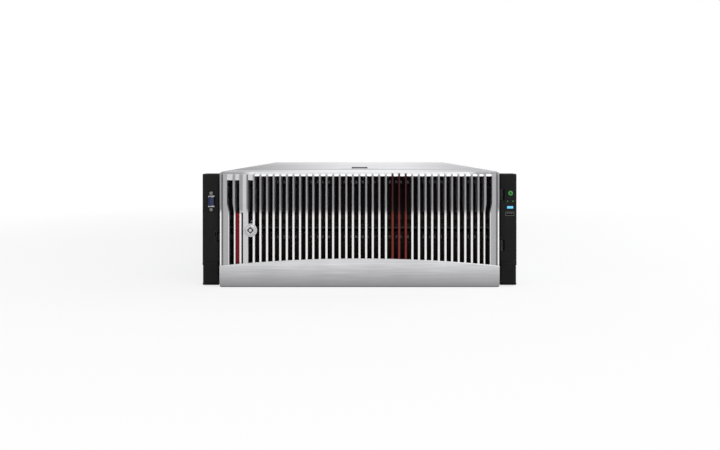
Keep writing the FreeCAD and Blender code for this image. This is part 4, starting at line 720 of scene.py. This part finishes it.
def vents(name: str, start: Point, radius: float, *rows: tuple[int, Point], sides: int = 6) -> Piece:
    """Makes rows of holes with thin rims that face the rear.

    Args:
        name: Its name.
        start: The first hole's middle on the sheet.
        radius: The radius of a hole.
        *rows: How often all that is there so far is repeated, and by which step.
        sides: The number of sides of a hole.

    Returns:
        The new piece.
    """
    rise, depth, rim_share = 0.16, 0.12, 0.12
    piece = faced(rod(name, start, radius, rise, sides), TO_REAR, radius * rim_share, depth=depth)
    for count, step in rows:
        repeat(piece, count, step)
    return piece


def pan_screws(name: str, start: Point, axis: Axis, count: int, step: Point) -> Piece:
    """Makes a row of pan-head screws with round recesses.

    Args:
        name: Its name.
        start: The middle of the first seat.
        axis: The axis that the heads stand up along.
        count: How many there are.
        step: From one to the next.

    Returns:
        The new piece.
    """
    way = axis.value[0]
    piece = rod(name, start, radius=3.2, length=1.9, sides=28, axis=axis)
    faced(faced(piece, way, rim=0.5, rise=0.35), way, rim=1.3, depth=0.9)
    return repeat(round_edges(piece, 0.2, angle=50), count, step)


def settle(piece: Piece, finish: str, body: str = "chassis", slot: Optional[str] = None,
           smooth: float = 35.0) -> None:
    """Finishes a piece: clean mesh, outward faces, material and body.

    Args:
        piece: The piece.
        finish: Its finish.
        body: The CAD body it moves with.
        slot: The record's slot that its finish stands for; it is not used.
        smooth: Edges below this angle are smooth, in degrees.
    """
    with editing(piece):
        bpy.ops.mesh.remove_doubles(threshold=MERGE)
        bpy.ops.mesh.normals_make_consistent(inside=False)
    bpy.ops.object.shade_smooth_by_angle(angle=math.radians(smooth))
    wear(piece, finish)
    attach(piece, body)
    log.info("%s rides on %s", piece.name, body)


def settle_pair(piece: Piece, second: str, change: Matrix, finish: str,
                bodies: Sequence[str] = ("chassis", "chassis"), **rest: Any) -> None:
    """Finishes a piece and a copy of it that is moved or mirrored.

    Args:
        piece: The piece.
        second: The copy's name.
        change: From the piece to the copy.
        finish: The finish of both.
        bodies: The CAD bodies that they move with.
        **rest: What settle takes besides.
    """
    other = piece.copy()
    other.data = piece.data.copy()
    other.name = other.data.name = second
    other.data.transform(change)
    bpy.context.scene.collection.objects.link(other)
    for one, body in zip((piece, other), bodies):
        settle(one, finish, body, **rest)


def soften(**widths: float) -> None:
    """Stands copies with rounded edges in for CAD nodes.

    Args:
        **widths: The width of the rounding, by node.
    """
    for node, width in widths.items():
        piece = round_edges(from_node(node + "_soft", node), width)
        settle(piece, SLOTS[node], body_of(frame["nodes"][node])[0])
        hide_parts(node)


@dataclass(frozen=True)
class Softbox:
    """A rectangular lamp: where it hangs, where it looks, its size in metres and its power in watts."""

    name: str
    place: Point
    aim: Point
    wide: float
    tall: float
    power: float

    def hang(self) -> None:
        """Hangs the lamp in the scene."""
        light = bpy.data.lights.new(self.name, "AREA")
        adjust(light, shape="RECTANGLE", size=self.wide, size_y=self.tall, energy=self.power)
        lamp = bpy.data.objects.new(self.name, light)
        lamp.location = self.place
        lamp.rotation_euler = (Vector(self.aim) - Vector(self.place)).to_track_quat("-Z", "Y").to_euler()
        bpy.context.scene.collection.objects.link(lamp)


@dataclass
class Studio:
    """White floor, soft lamps, pale surroundings and the camera; in metres, and the shifts in pixels."""

    eye: Triple = (0.0, -1.530, 0.2108)
    lens: float = 36.7
    sensor: float = 36.0
    sight: float = 60.0
    axis_columns: float = 0.45
    horizon_rows: float = 76.5
    image_width: float = 720.0
    floor_half: float = 14.0
    floor_drop: float = 0.0002
    shadow_from: float = 0.5
    shadow_to: float = 1.3
    shadow_white: float = 0.75
    softboxes: tuple[Softbox, ...] = (
        Softbox("key_softbox", (0.9, -2.0, 2.3), (0.0, -0.2, 0.1), 2.2, 1.6, 34.0),
        Softbox("fill_softbox", (-1.9, -1.5, 1.2), (-0.1, -0.3, 0.1), 1.4, 1.4, 10.0),
        Softbox("top_softbox", (1.5, 0.2, 1.0), (0.1, 0.0, 0.15), 1.4, 1.4, 11.0))

    def build(self) -> None:
        """Sets the whole studio up."""
        bpy.context.scene.view_settings.view_transform = "Standard"
        self.floor()
        self.surroundings()
        for softbox in self.softboxes:
            softbox.hang()
        self.camera()

    @staticmethod
    def seen(tree: Tree) -> Socket:
        """Finds the rays that bring a surface to the eye: straight, mirrored or through something clear.

        Args:
            tree: The nodes of the floor or of the surroundings.

        Returns:
            One on such a ray, and zero on any other.
        """
        path = add(tree, "LightPath").outputs
        near = add(tree, "Math", {0: path["Is Camera Ray"], 1: path["Is Glossy Ray"]}, operation="MAXIMUM")
        through = {0: path["Is Transmission Ray"], 1: near.outputs[0]}
        return add(tree, "Math", through, operation="MAXIMUM").outputs[0]

    def floor(self) -> None:
        """Lays a wide white floor that takes the shadow."""
        bpy.ops.mesh.primitive_plane_add(size=2 * self.floor_half, location=(0, 0, -self.floor_drop))
        ground = bpy.context.active_object
        ground.name = "floor"
        material = bpy.data.materials.new("white_paper")
        tree = cleared(material)
        paper = add(tree, "BsdfDiffuse", {"Color": linear("F4F4F4")})
        lit = add(tree, "Emission", {"Color": linear("FFFFFF"), "Strength": 1.0})
        place = add(tree, "TexCoord").outputs["Object"]
        away = add(tree, "VectorMath", {0: place}, operation="LENGTH").outputs["Value"]
        shown = add(tree, "MapRange", {
            "Value": away, "From Min": self.shadow_from, "From Max": self.shadow_to,
            "To Min": self.shadow_white, "To Max": 1.0})
        share = add(tree, "Math", {0: self.seen(tree), 1: shown.outputs[0]}, operation="MULTIPLY")
        both = add(tree, "MixShader", {0: share.outputs[0], 1: paper.outputs[0], 2: lit.outputs[0]})
        add(tree, "OutputMaterial", {"Surface": both.outputs[0]})
        ground.data.materials.append(material)

    def surroundings(self) -> None:
        """Makes the surroundings white to the eye and in metal, and a plain level as light."""
        world = bpy.data.worlds.new("white_studio")
        bpy.context.scene.world = world
        tree = cleared(world)
        plain = add(tree, "Background", {"Color": linear("E8E8EA"), "Strength": 0.55})
        white = add(tree, "Background", {"Color": linear("FFFFFF"), "Strength": 1.0})
        both = add(tree, "MixShader", {0: self.seen(tree), 1: plain.outputs[0], 2: white.outputs[0]})
        add(tree, "OutputWorld", {"Surface": both.outputs[0]})

    def camera(self) -> None:
        """Stands a level camera in front, shifted so that the horizon lies above the middle."""
        lens = bpy.data.cameras.new("camera")
        adjust(lens, lens=self.lens, sensor_width=self.sensor, clip_end=self.sight,
               shift_x=self.axis_columns / self.image_width, shift_y=-self.horizon_rows / self.image_width)
        eye = bpy.data.objects.new("camera", lens)
        eye.location = self.eye
        eye.rotation_euler = (math.pi / 2, 0, 0)
        bpy.context.scene.collection.objects.link(eye)
        bpy.context.scene.camera = eye


@dataclass
class BezelDress:
    """Lock face, hinge sleeves, red fin tips and rounded edges of the bezel; in millimetres."""

    lock: Pair = (-165.825, 86.6)
    lock_front: float = -40.6
    ring_front: float = -39.8
    hinge: Pair = (218.2, -26.0)
    knuckles: Pair = (62.0, 140.0)
    knuckle_half: float = 8.15
    sleeve_radius: float = 3.35
    bezel_edge: float = 212.3
    arm_front: float = -30.15
    arm_inset: float = 2.6
    accents: int = 3
    fin_pitch: float = 10.05
    fin_width: float = 3.1
    nose_width: float = 1.4
    nose_depth: float = 1.8
    rail_set_back: float = 2.2
    rail_lean: float = 3.54
    tip_rise: float = 4.2
    tip_chamfer: float = 1.5
    slack: float = 0.1

    def build(self) -> None:
        """Adds all pieces of the bezel."""
        self.lock_face()
        self.hinge_sleeves()
        self.accent_tips()
        soften(latch_grip=0.4, latch_lip=0.3, lock_housing=0.25)

    def lock_face(self) -> None:
        """Adds the bead around the lock, a dark ring of painted shadow in its keyway, and its bright core."""
        x, z = self.lock
        bead = hoop("lock_bead", (x, self.ring_front, z), radius=8.9, wire=0.7)
        settle(bead, "polished_steel", "bezel")
        # a dark ring stands in the keyway as painted shadow
        keyway_shadow = hoop("lock_key_ring", (x, self.lock_front - 0.35, z), radius=4.3, wire=0.95, flat=0.3, steps=4,
                   sides=12)
        settle(keyway_shadow, "socket_black", "lock")
        core = rod("lock_core", (x, self.lock_front - 0.02, z), radius=2.3, length=-0.6, sides=24)
        settle(round_edges(core, 0.25), "polished_steel", "lock")

    def hinge_sleeves(self) -> None:
        """Sleeves both knuckles of the hinge in black."""
        (x, y), (first, second) = self.hinge, self.knuckles
        low, tall = first - self.knuckle_half, 2 * self.knuckle_half
        sleeve = rod("sleeve", (x, y, low), self.sleeve_radius, tall, sides=32, axis=Axis.Z)
        cheek = cube("cheek", (self.bezel_edge, self.arm_front, low), (x, y - self.arm_inset, low + tall))
        whole = joined("hinge_sleeve_1", sleeve, round_edges(cheek, 0.3))
        settle_pair(whole, "hinge_sleeve_2", moved(z=second - first), "black_plastic", ("bezel", "bezel"))

    def accent_tips(self) -> None:
        """Carries the red fins up over the leaning rail, as the silver ones run."""
        corner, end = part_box("accent_fins")
        left, nose, foot = corner.x / MM, depth_of(corner.y), end.z / MM
        shoulder, back, top = nose + self.nose_depth, nose + self.rail_set_back, foot + self.tip_rise
        tip = cube("accent_tips", (left, shoulder, foot), (left + self.fin_width, back, top))
        front = at(0, nose + self.slack, top - self.slack)
        rear = at(0, back - self.slack, top - self.slack)
        with editing(tip):
            pick_facing(tip, TO_FRONT)
            push((0, -self.nose_depth, 0))
            bpy.ops.transform.resize(value=(self.nose_width / self.fin_width, 1, 1),
                                     center_override=at(left + self.fin_width / 2, nose, foot))
            pick(tip, lambda edge: all(v.co.z > front.z and v.co.y < front.y for v in edge.verts), Kind.EDGE)
            bpy.ops.transform.translate(value=(0, 0, -self.tip_chamfer * MM))
            pick(tip, lambda edge: all(v.co.z > rear.z and v.co.y > rear.y for v in edge.verts), Kind.EDGE)
            bpy.ops.transform.translate(value=(0, self.rail_lean * MM, 0))
        settle(repeat(tip, self.accents, (self.fin_pitch, 0, 0)), "red_anodised", "bezel")


@dataclass
class Contacts:
    """Three rows of contact holes of a display socket, the middle one shifted; in millimetres."""

    radius: float = 0.6
    sides: int = 12
    count: int = 5
    pitch: float = 2.29
    first: float = -5.1
    shift: float = 1.1

    def rows(self, gap: float) -> list[Pair]:
        """Where each row lies across the rows and where its first hole lies along it."""
        return [(-gap, self.first), (0.0, self.first + self.shift), (gap, self.first)]


@dataclass
class EarDress:
    """Ports, lamps, buttons, flap ribs and knurled screws on the ears; in millimetres."""

    face: float = -29.0
    vga: Pair = (-227.2, 129.7)
    vga_insert_front: float = -30.0
    vga_row_gap: float = 1.6
    post_span: float = 25.0
    power: Pair = (231.6, 142.3)
    lamp: Pair = (227.0, 130.0)
    lamp_gap: float = 8.3
    usb: Pair = (230.5, 110.8)
    service: Pair = (-221.2, 79.0)
    screw: Pair = (232.55, 20.7)
    knurls: int = 24
    flap_front: float = -28.3
    flap_rib: Pair = (231.0, 10.4)
    flap_rib_pitch: float = 3.6

    def build(self) -> None:
        """Adds all pieces of the ears."""
        self.display_port()
        self.lamps_and_button()
        self.plug_port()
        self.service_plug()
        self.flap_ribs()
        self.screw_heads()
        soften(left_ear=0.35, right_ear=0.35, left_flap=0.4, right_flap=0.4, identify_button=0.35,
               power_button=0.35)

    def display_port(self) -> None:
        """Finishes the shell with painted shade on its long sides, and adds the hexagonal jack posts and the
        fifteen contact holes.
        """
        x, z = self.vga
        wear(frame["nodes"]["front_vga_shell"], "shell_nickel")
        nut = rod("jack_nut_1", (x, self.face, z - self.post_span / 2), radius=2.95, length=-2.35, sides=6)
        round_edges(faced(nut, TO_FRONT, rim=0.5, rise=0.3), 0.15)
        settle_pair(nut, "jack_nut_2", moved(z=self.post_span), "dull_nickel", slot="nickel", smooth=25.0)
        contacts, rows = Contacts(), []
        for across, first in contacts.rows(self.vga_row_gap):
            place = (x + across, self.vga_insert_front, z + first)
            hole = rod("contact_row", place, contacts.radius, length=-0.2, sides=contacts.sides)
            faced(hole, TO_FRONT, rim=0.18, depth=0.15)
            rows.append(repeat(hole, contacts.count, (0, 0, contacts.pitch)))
        settle(joined("display_contacts", *rows), "socket_black")

    def lamps_and_button(self) -> None:
        """Adds the lit ring of the power button and the two small lamps."""
        x, z = self.power
        ring = hoop("power_ring", (x, self.face - 0.62, z), radius=2.5, wire=1.05, flat=0.35)
        settle(ring, "ring_green", "power", "green_button")
        x, z = self.lamp
        lamp = rod("status_lamp_1", (x, self.face + 0.05, z), radius=0.75, length=-0.4, sides=16)
        settle_pair(round_edges(lamp, 0.3, 3), "status_lamp_2", moved(x=self.lamp_gap), "ring_green",
                    slot="green_lens")

    def plug_port(self) -> None:
        """Dulls the shell of the front plug port, lines it in black and dresses its tongue."""
        (x, z), y = self.usb, self.face
        wear(frame["nodes"]["front_usb_port"], "dull_nickel")
        corners = block(self.usb, half=(6.08, 2.38), depths=(y + 0.3, y + 13.2))
        settle(cup("usb_liner", corners, wall=0.12), "black_plastic", slot="socket_black")
        tongue = cube("usb_tongue", (x - 5.05, y + 0.8, z - 0.08), (x + 5.05, y + 13.0, z + 1.9))
        settle(round_edges(tongue, 0.3), "tongue_grey", slot="socket_black")
        spring = cube("usb_springs", (x - 4.0, y + 2.0, z - 0.3), (x - 3.0, y + 10.0, z - 0.05))
        settle(repeat(round_edges(spring, 0.1), 4, (2.33, 0, 0)), "gold", slot="nickel")

    def service_plug(self) -> None:
        """Lines the small service port in black and stands its tongue in it."""
        y = self.face
        corners = block(self.service, half=(1.75, 4.6), depths=(y - 0.06, y + 8.9))
        settle(cup("service_liner", corners, wall=0.5, floor=0.5), "socket_black")
        corners = block(self.service, half=(0.4, 3.35), depths=(y + 1.1, y + 8.6))
        settle(round_edges(cube("service_tongue", *corners), 0.15), "black_plastic")

    def flap_ribs(self) -> None:
        """Adds the finger ribs low on both flaps."""
        y = self.flap_front
        rib = cube("right_flap_ribs", *block(self.flap_rib, half=(5.0, 0.6), depths=(y - 0.4, y + 0.3)))
        repeat(round_edges(rib, 0.25), 5, (0, 0, self.flap_rib_pitch))
        settle_pair(rib, "left_flap_ribs", MIRROR, "black_plastic", ("flap_right", "flap_left"))

    def screw_heads(self) -> None:
        """Knurls the captive screws behind the flaps and sinks a round recess into them."""
        x, z = self.screw
        front = depth_of(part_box("right_rack_screw")[0].y)
        head = rod("right_screw_knurl", (x, front - 0.3, z), radius=5.75, length=8.0, sides=2 * self.knurls)
        middle, groove = at(x, 0, z), math.pi / self.knurls

        def grooved(face: Face) -> bool:
            """Finds every second face around the head."""
            out = face.calc_center_median() - middle
            return abs(face.normal.y) < 0.1 and math.atan2(out.z, out.x) // groove % 2 == 0

        with editing(head):
            pick(head, grooved)
            inset(rim=0.08, rise=-0.3, each=True)
            pick_facing(head, TO_FRONT)
            inset(rim=1.2, rise=0.2)
            inset(rim=2.2)
            push((0, 1.2, 0))
        settle_pair(head, "left_screw_knurl", MIRROR, "nickel", ("screw_right", "screw_left"), smooth=25.0)


@dataclass
class CoverDress:
    """Stamped panels of the cover, and the rounded latch; in millimetres."""

    top: float = 174.6
    panel_across: tuple[Pair, ...] = ((32.0, 196.0), (-196.0, -32.0))
    panel_along: tuple[Pair, ...] = ((112.0, 404.0), (432.0, 742.0))
    rim: float = 5.0
    pressed: float = 0.5
    sheet: float = 1.2
    slack: float = 0.2
    clearance: float = 0.05

    def build(self) -> None:
        """Adds all pieces of the cover."""
        self.stamped_sheet()
        soften(cover_latch=0.5, cover_latch_well=0.3, front_top_plate=0.3)

    def stamped_sheet(self) -> None:
        """Presses shallow panels into a copy of the cover."""
        cover = from_node("cover_sheet", "top_cover")
        with editing(cover):
            for x in sorted(sum(self.panel_across, ())):
                split((x, 0, 0), TO_RIGHT)
            for y in sorted(sum(self.panel_along, ())):
                split((0, y, 0), TO_REAR)
            for (left, right), (front, back) in product(self.panel_across, self.panel_along):
                low, high = at(left, front, self.top - self.slack), at(right, back, self.top + self.slack)
                pick(cover, lambda face: face.normal.z > SAME_WAY and inside(face, low, high))
                inset(self.rim, -self.pressed)
            under = (self.top - self.sheet - self.slack) * MM
            pick(cover, lambda face: face.normal.z < -SAME_WAY and face.calc_center_median().z > under)
            bpy.ops.transform.translate(value=(0, 0, self.clearance * MM))
        settle(round_edges(cover, 0.25, angle=50), "cover_steel", "cover")
        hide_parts("top_cover")


@dataclass
class SideDress:
    """Rail studs, bracket screws, rivets and ribs on both sides of the chassis; in millimetres."""

    wall: float = 217.0
    bracket: float = 219.0
    studs_at: Pair = (150.0, 58.0)
    stud_pitch: float = 280.0
    stud_neck: float = 2.2
    stud_flare: float = 1.6
    screws_at: Pair = (30.0, 28.0)
    screw_pitch: float = 58.0
    rivets_at: Pair = (125.0, 160.0)
    rivet_pitch: float = 60.0
    ribs_along: Pair = (150.0, 742.0)
    ribs_up: Pair = (108.0, 114.0)
    rib_pitch: float = 22.0

    def build(self) -> None:
        """Adds all pieces of the right side and their mirror images."""
        self.studs()
        screws = pan_screws("right_bracket_screws", (self.bracket, *self.screws_at), Axis.X, 3,
                            (0, 0, self.screw_pitch))
        self.both(screws, "nickel")
        rivet = rod("right_rivets", (self.wall, *self.rivets_at), radius=2.2, length=0.7, sides=20,
                    axis=Axis.X)
        self.both(repeat(round_edges(rivet, 0.55, 3), 11, (0, self.rivet_pitch, 0)), "zinc_steel")
        self.ribs()

    def both(self, piece: Piece, finish: str) -> None:
        """Finishes a piece of the right side and its mirror image."""
        settle_pair(piece, piece.name.replace("right", "left"), MIRROR, finish)

    def studs(self) -> None:
        """Turns shouldered studs that a slide rail hooks on."""
        stud = rod("right_rail_studs", (self.wall, *self.studs_at), radius=2.8, length=self.stud_neck,
                   sides=28, axis=Axis.X)
        with editing(stud):
            pick_facing(stud, TO_RIGHT)
            push((0, 0, 0))
            bpy.ops.transform.resize(value=(1, self.stud_flare, self.stud_flare),
                                     center_override=at(self.wall + self.stud_neck, *self.studs_at))
            push((1.8, 0, 0))
            inset(rim=0.6, rise=0.4)
        self.both(repeat(stud, 3, (0, self.stud_pitch, 0)), "zinc_steel")

    def ribs(self) -> None:
        """Presses two long stiffening ribs."""
        (front, back), (low, high) = self.ribs_along, self.ribs_up
        rib = cube("right_ribs", (self.wall - 0.2, front, low), (self.wall + 0.9, back, high))
        faced(rib, TO_RIGHT, rim=1.6, rise=0.3)
        self.both(repeat(round_edges(rib, 0.4, angle=20), 2, (0, 0, self.rib_pitch)), "zinc_steel")


@dataclass
class DriveDress:
    """Light pipes on the drive carriers; in millimetres."""

    first_pipe: float = -205.9
    pitch: float = 17.6
    count: int = 24
    heights: Pair = (5.9, 92.0)
    pipe_half: float = 0.9

    def build(self) -> None:
        """Adds the light pipes of both rows."""
        front = depth_of(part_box("drive_carriers")[0].y)
        for number, z in enumerate(self.heights, start=1):
            half, depths = (self.pipe_half, self.pipe_half), (front - 0.25, front + 0.3)
            corners = block((self.first_pipe, z), half, depths)
            pipe = round_edges(cube(f"drive_lamps_{number}", *corners), 0.2)
            settle(repeat(pipe, self.count, (self.pitch, 0, 0)), "green_lens")


@dataclass
class RearDress:
    """Guards, inlets, lamps, contacts, screws and vents at the rear; in millimetres."""

    supply_back: float = 771.5
    bays: tuple[float, float, float, float] = (-173.6, -98.0, -22.4, 53.2)
    middle: float = 22.4
    fan_shift: float = -15.7
    guard_radii: tuple[float, ...] = (4.6, 8.4, 12.2, 15.9)
    guard_reach: float = 16.4
    blades_depth: float = 766.6
    blade_middle: float = 10.0
    blade_half: Triple = (5.0, 0.5, 2.9)
    blade_pitch: float = 35.0
    blade_count: int = 7
    inlet_shift: float = 17.7
    inlet_half: Pair = (12.15, 8.35)
    pin_half: Pair = (1.0, 2.0)
    pin_places: tuple[Pair, ...] = ((0.0, 2.2), (-7.0, -1.8), (7.0, -1.8))
    lamp_height: float = 37.6
    panel: float = 770.0
    first_slot: float = -196.0
    slot_pitch: float = 32.5
    slots: int = 9
    slot_screw_height: float = 164.5
    panel_screws_at: Pair = (-209.0, 48.5)
    panel_screw_pitch: float = 150.0
    slot_vents_at: Pair = (-199.1, 58.0)
    blank_vents_at: Pair = (-51.0, 10.4)
    shield_vents_at: Pair = (106.2, 31.4)
    small_vent_pitch: float = 5.2
    lan_holes: Pair = (113.1, 127.9)
    lan_height: float = 18.2
    lan_half: Pair = (5.85, 4.15)
    port_face: float = 771.0
    display: Pair = (191.4, 17.45)
    display_row_gap: float = 2.0
    display_reach: float = 6.0
    shield: tuple[float, float, float, float] = (98.2, 11.35, 207.8, 35.8)
    shield_inset: float = 1.2
    shield_sheet: float = 0.8
    cutouts: tuple[Triple, ...] = (
        (103.6, 137.4, 25.6), (144.6, 160.4, 27.2), (175.6, 207.2, 24.1))

    def build(self) -> None:
        """Adds all pieces of the rear."""
        self.guard()
        self.blades()
        self.inlet()
        soften(supply_grip_1=0.5, supply_tab_1=0.3, supply_grip_2=0.5, supply_tab_2=0.3)
        self.vents_and_screws()
        self.port_shield()
        self.network_ports()
        self.display_port()

    def both(self, piece: Piece, finish: str) -> None:
        """Finishes a piece of the first supply and its copy in the second one."""
        change = moved(x=self.bays[1] - self.bays[0])
        settle_pair(piece, piece.name + "_2", change, finish, ("power_supply_1", "power_supply_2"))

    def guard(self) -> None:
        """Bends a wire guard of rings and two crossed bars for each supply."""
        x, y, z = place = (self.bays[0] + self.fan_shift, self.supply_back + 0.5, self.middle)
        wires = [hoop("ring", place, radius, wire=0.55) for radius in self.guard_radii]
        for turn in (math.pi / 4, -math.pi / 4):
            bar = rod("bar", (x - self.guard_reach, y, z), 0.6, 2 * self.guard_reach, sides=10, axis=Axis.X)
            wires.append(bar)
            with editing(bar):
                bpy.ops.transform.rotate(value=turn, orient_axis="Y", center_override=at(*place))
        self.both(joined("supply_guard", *wires), "nickel")

    def blades(self) -> None:
        """Spins seven pitched blades about the hub of each supply's fan."""
        x, y, z = self.bays[0] + self.fan_shift, self.blades_depth, self.middle
        wide, thick, tall = self.blade_half
        corners = block((x + self.blade_middle, z), (wide, tall), (y - thick, y + thick))
        blade, steps = cube("supply_blades", *corners), self.blade_count - 1
        with editing(blade):
            bpy.ops.transform.rotate(value=math.radians(self.blade_pitch), orient_axis="X",
                                     center_override=at(x + self.blade_middle, y, z))
            bpy.ops.mesh.bevel(offset=0.3 * MM, segments=2, affect="EDGES")
            bpy.ops.mesh.select_all(action="SELECT")
            bpy.ops.mesh.spin(steps=steps, angle=FULL_TURN * steps / self.blade_count, dupli=True,
                              center=at(x, y, z), axis=TO_REAR)
        self.both(blade, "socket_black")

    def inlet(self) -> None:
        """Sinks a black socket with a rim and three flat pins into each supply, with a lamp above it."""
        x, back = self.bays[0] + self.inlet_shift, self.supply_back
        socket = cube("inlet_socket", *block((x, self.middle), self.inlet_half, (back - 15.9, back + 0.2)))
        with editing(socket):
            pick(socket, lambda edge: abs(edge.verts[0].co.y - edge.verts[1].co.y) > MM
                 and edge.verts[0].co.z > self.middle * MM, Kind.EDGE)
            bpy.ops.mesh.bevel(offset=4.0 * MM, segments=1, affect="EDGES")
        self.both(faced(socket, TO_REAR, rim=1.1, depth=15.4), "socket_black")
        pins = []
        for shift, rise in self.pin_places:
            corners = block((x + shift, self.middle + rise), self.pin_half, (back - 15.5, back - 2.0))
            pins.append(round_edges(cube("pin", *corners), 0.5))
        self.both(joined("inlet_pins", *pins), "nickel")
        lamp = rod("supply_lamp", (x, back, self.lamp_height), radius=1.4, length=0.6, sides=20)
        self.both(round_edges(lamp, 0.45, 3), "green_lens")

    def vents_and_screws(self) -> None:
        """Punches hexagonal vents into slot covers and supply blanks, and screws covers and panel on."""
        along_slots = (self.slots, (self.slot_pitch, 0, 0))
        (x, z), back = self.slot_vents_at, depth_of(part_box("slot_covers")[1].y)
        holes = vents("slot_vents", (x, back, z), 2.2, (15, (0, 0, 6.5)), (2, (6.2, 0, 0)), along_slots)
        settle(holes, "socket_black", slot="dark_steel", smooth=25.0)
        place = (self.first_slot, self.panel, self.slot_screw_height)
        settle(pan_screws("slot_screws", place, Axis.Y, *along_slots), "nickel")
        x, z = self.panel_screws_at
        screws = pan_screws("panel_screws", (x, self.panel, z), Axis.Y, 3, (self.panel_screw_pitch, 0, 0))
        settle(screws, "nickel")
        x, z = self.blank_vents_at
        holes = vents("blank_vents", (x, self.supply_back, z), 1.9, (12, (self.small_vent_pitch, 0, 0)),
                      (2, (0, 0, 24.0)), (2, (self.bays[3] - self.bays[2], 0, 0)))
        settle(holes, "socket_black", smooth=25.0)

    def port_shield(self) -> None:
        """Closes the opening around the ports with a thin stamped shield that has a row of vents."""
        (left, low, right, high), y = self.shield, self.panel - self.shield_inset
        bpy.ops.mesh.primitive_plane_add(size=1, rotation=(math.pi / 2, 0, 0),
                                         location=at((left + right) / 2, y, (low + high) / 2))
        bpy.context.active_object.scale = ((right - left) * MM, (high - low) * MM, 1)
        plate = started("port_shield")
        with editing(plate):
            for x in sorted(side for cutout in self.cutouts for side in cutout[:2]):
                split((x, 0, 0), TO_RIGHT)
            for z in sorted(cutout[2] for cutout in self.cutouts):
                split((0, 0, z), TO_TOP)
            pick(plate, lambda face: any(inside(face, at(first, 0, 0), at(last, self.panel, top))
                                         for first, last, top in self.cutouts))
            bpy.ops.mesh.delete(type="FACE")
            bpy.ops.mesh.select_all(action="SELECT")
            push((0, self.shield_sheet, 0))
        settle(round_edges(plate, 0.12), "zinc_steel", smooth=25.0)
        x, z = self.shield_vents_at
        holes = vents("shield_vents", (x, y + self.shield_sheet, z), 1.7, (19, (self.small_vent_pitch, 0, 0)))
        settle(holes, "socket_black", smooth=25.0)

    def network_ports(self) -> None:
        """Lines the network sockets and adds their contacts."""
        y, z = self.port_face, self.lan_height
        for number, x in enumerate(self.lan_holes, start=1):
            corners = block((x, z), self.lan_half, (y - 13.8, y - 0.1))
            settle(cup(f"network_liner_{number}", corners, wall=0.15, way=TO_REAR), "socket_black")
            low, high = (x - 3.8, y - 11.0, z + 2.6), (x - 3.4, y - 2.5, z + 3.2)
            spring = round_edges(cube(f"network_springs_{number}", low, high), 0.1)
            settle(repeat(spring, 8, (1.03, 0, 0)), "gold", slot="nickel")

    def display_port(self) -> None:
        """Adds the fifteen contact holes of the rear display socket."""
        (x, z), back, contacts = self.display, self.port_face + self.display_reach, Contacts()
        rows = [vents("contact_row", (x + first, back, z + rise), contacts.radius,
                      (contacts.count, (contacts.pitch, 0, 0)), sides=contacts.sides)
                for rise, first in contacts.rows(self.display_row_gap)]
        settle(joined("rear_display_contacts", *rows), "socket_black")


def main() -> None:
    """Dresses the frame, adds the fittings and sets up the studio."""
    logging.basicConfig(level=logging.INFO, format="%(message)s")
    for node, slot in SLOTS.items():
        wear(frame["nodes"][node], slot)
    for dress in (BezelDress(), EarDress(), CoverDress(), SideDress(), DriveDress(), RearDress()):
        dress.build()
    Studio().build()


if __name__ == "__main__":
    main()
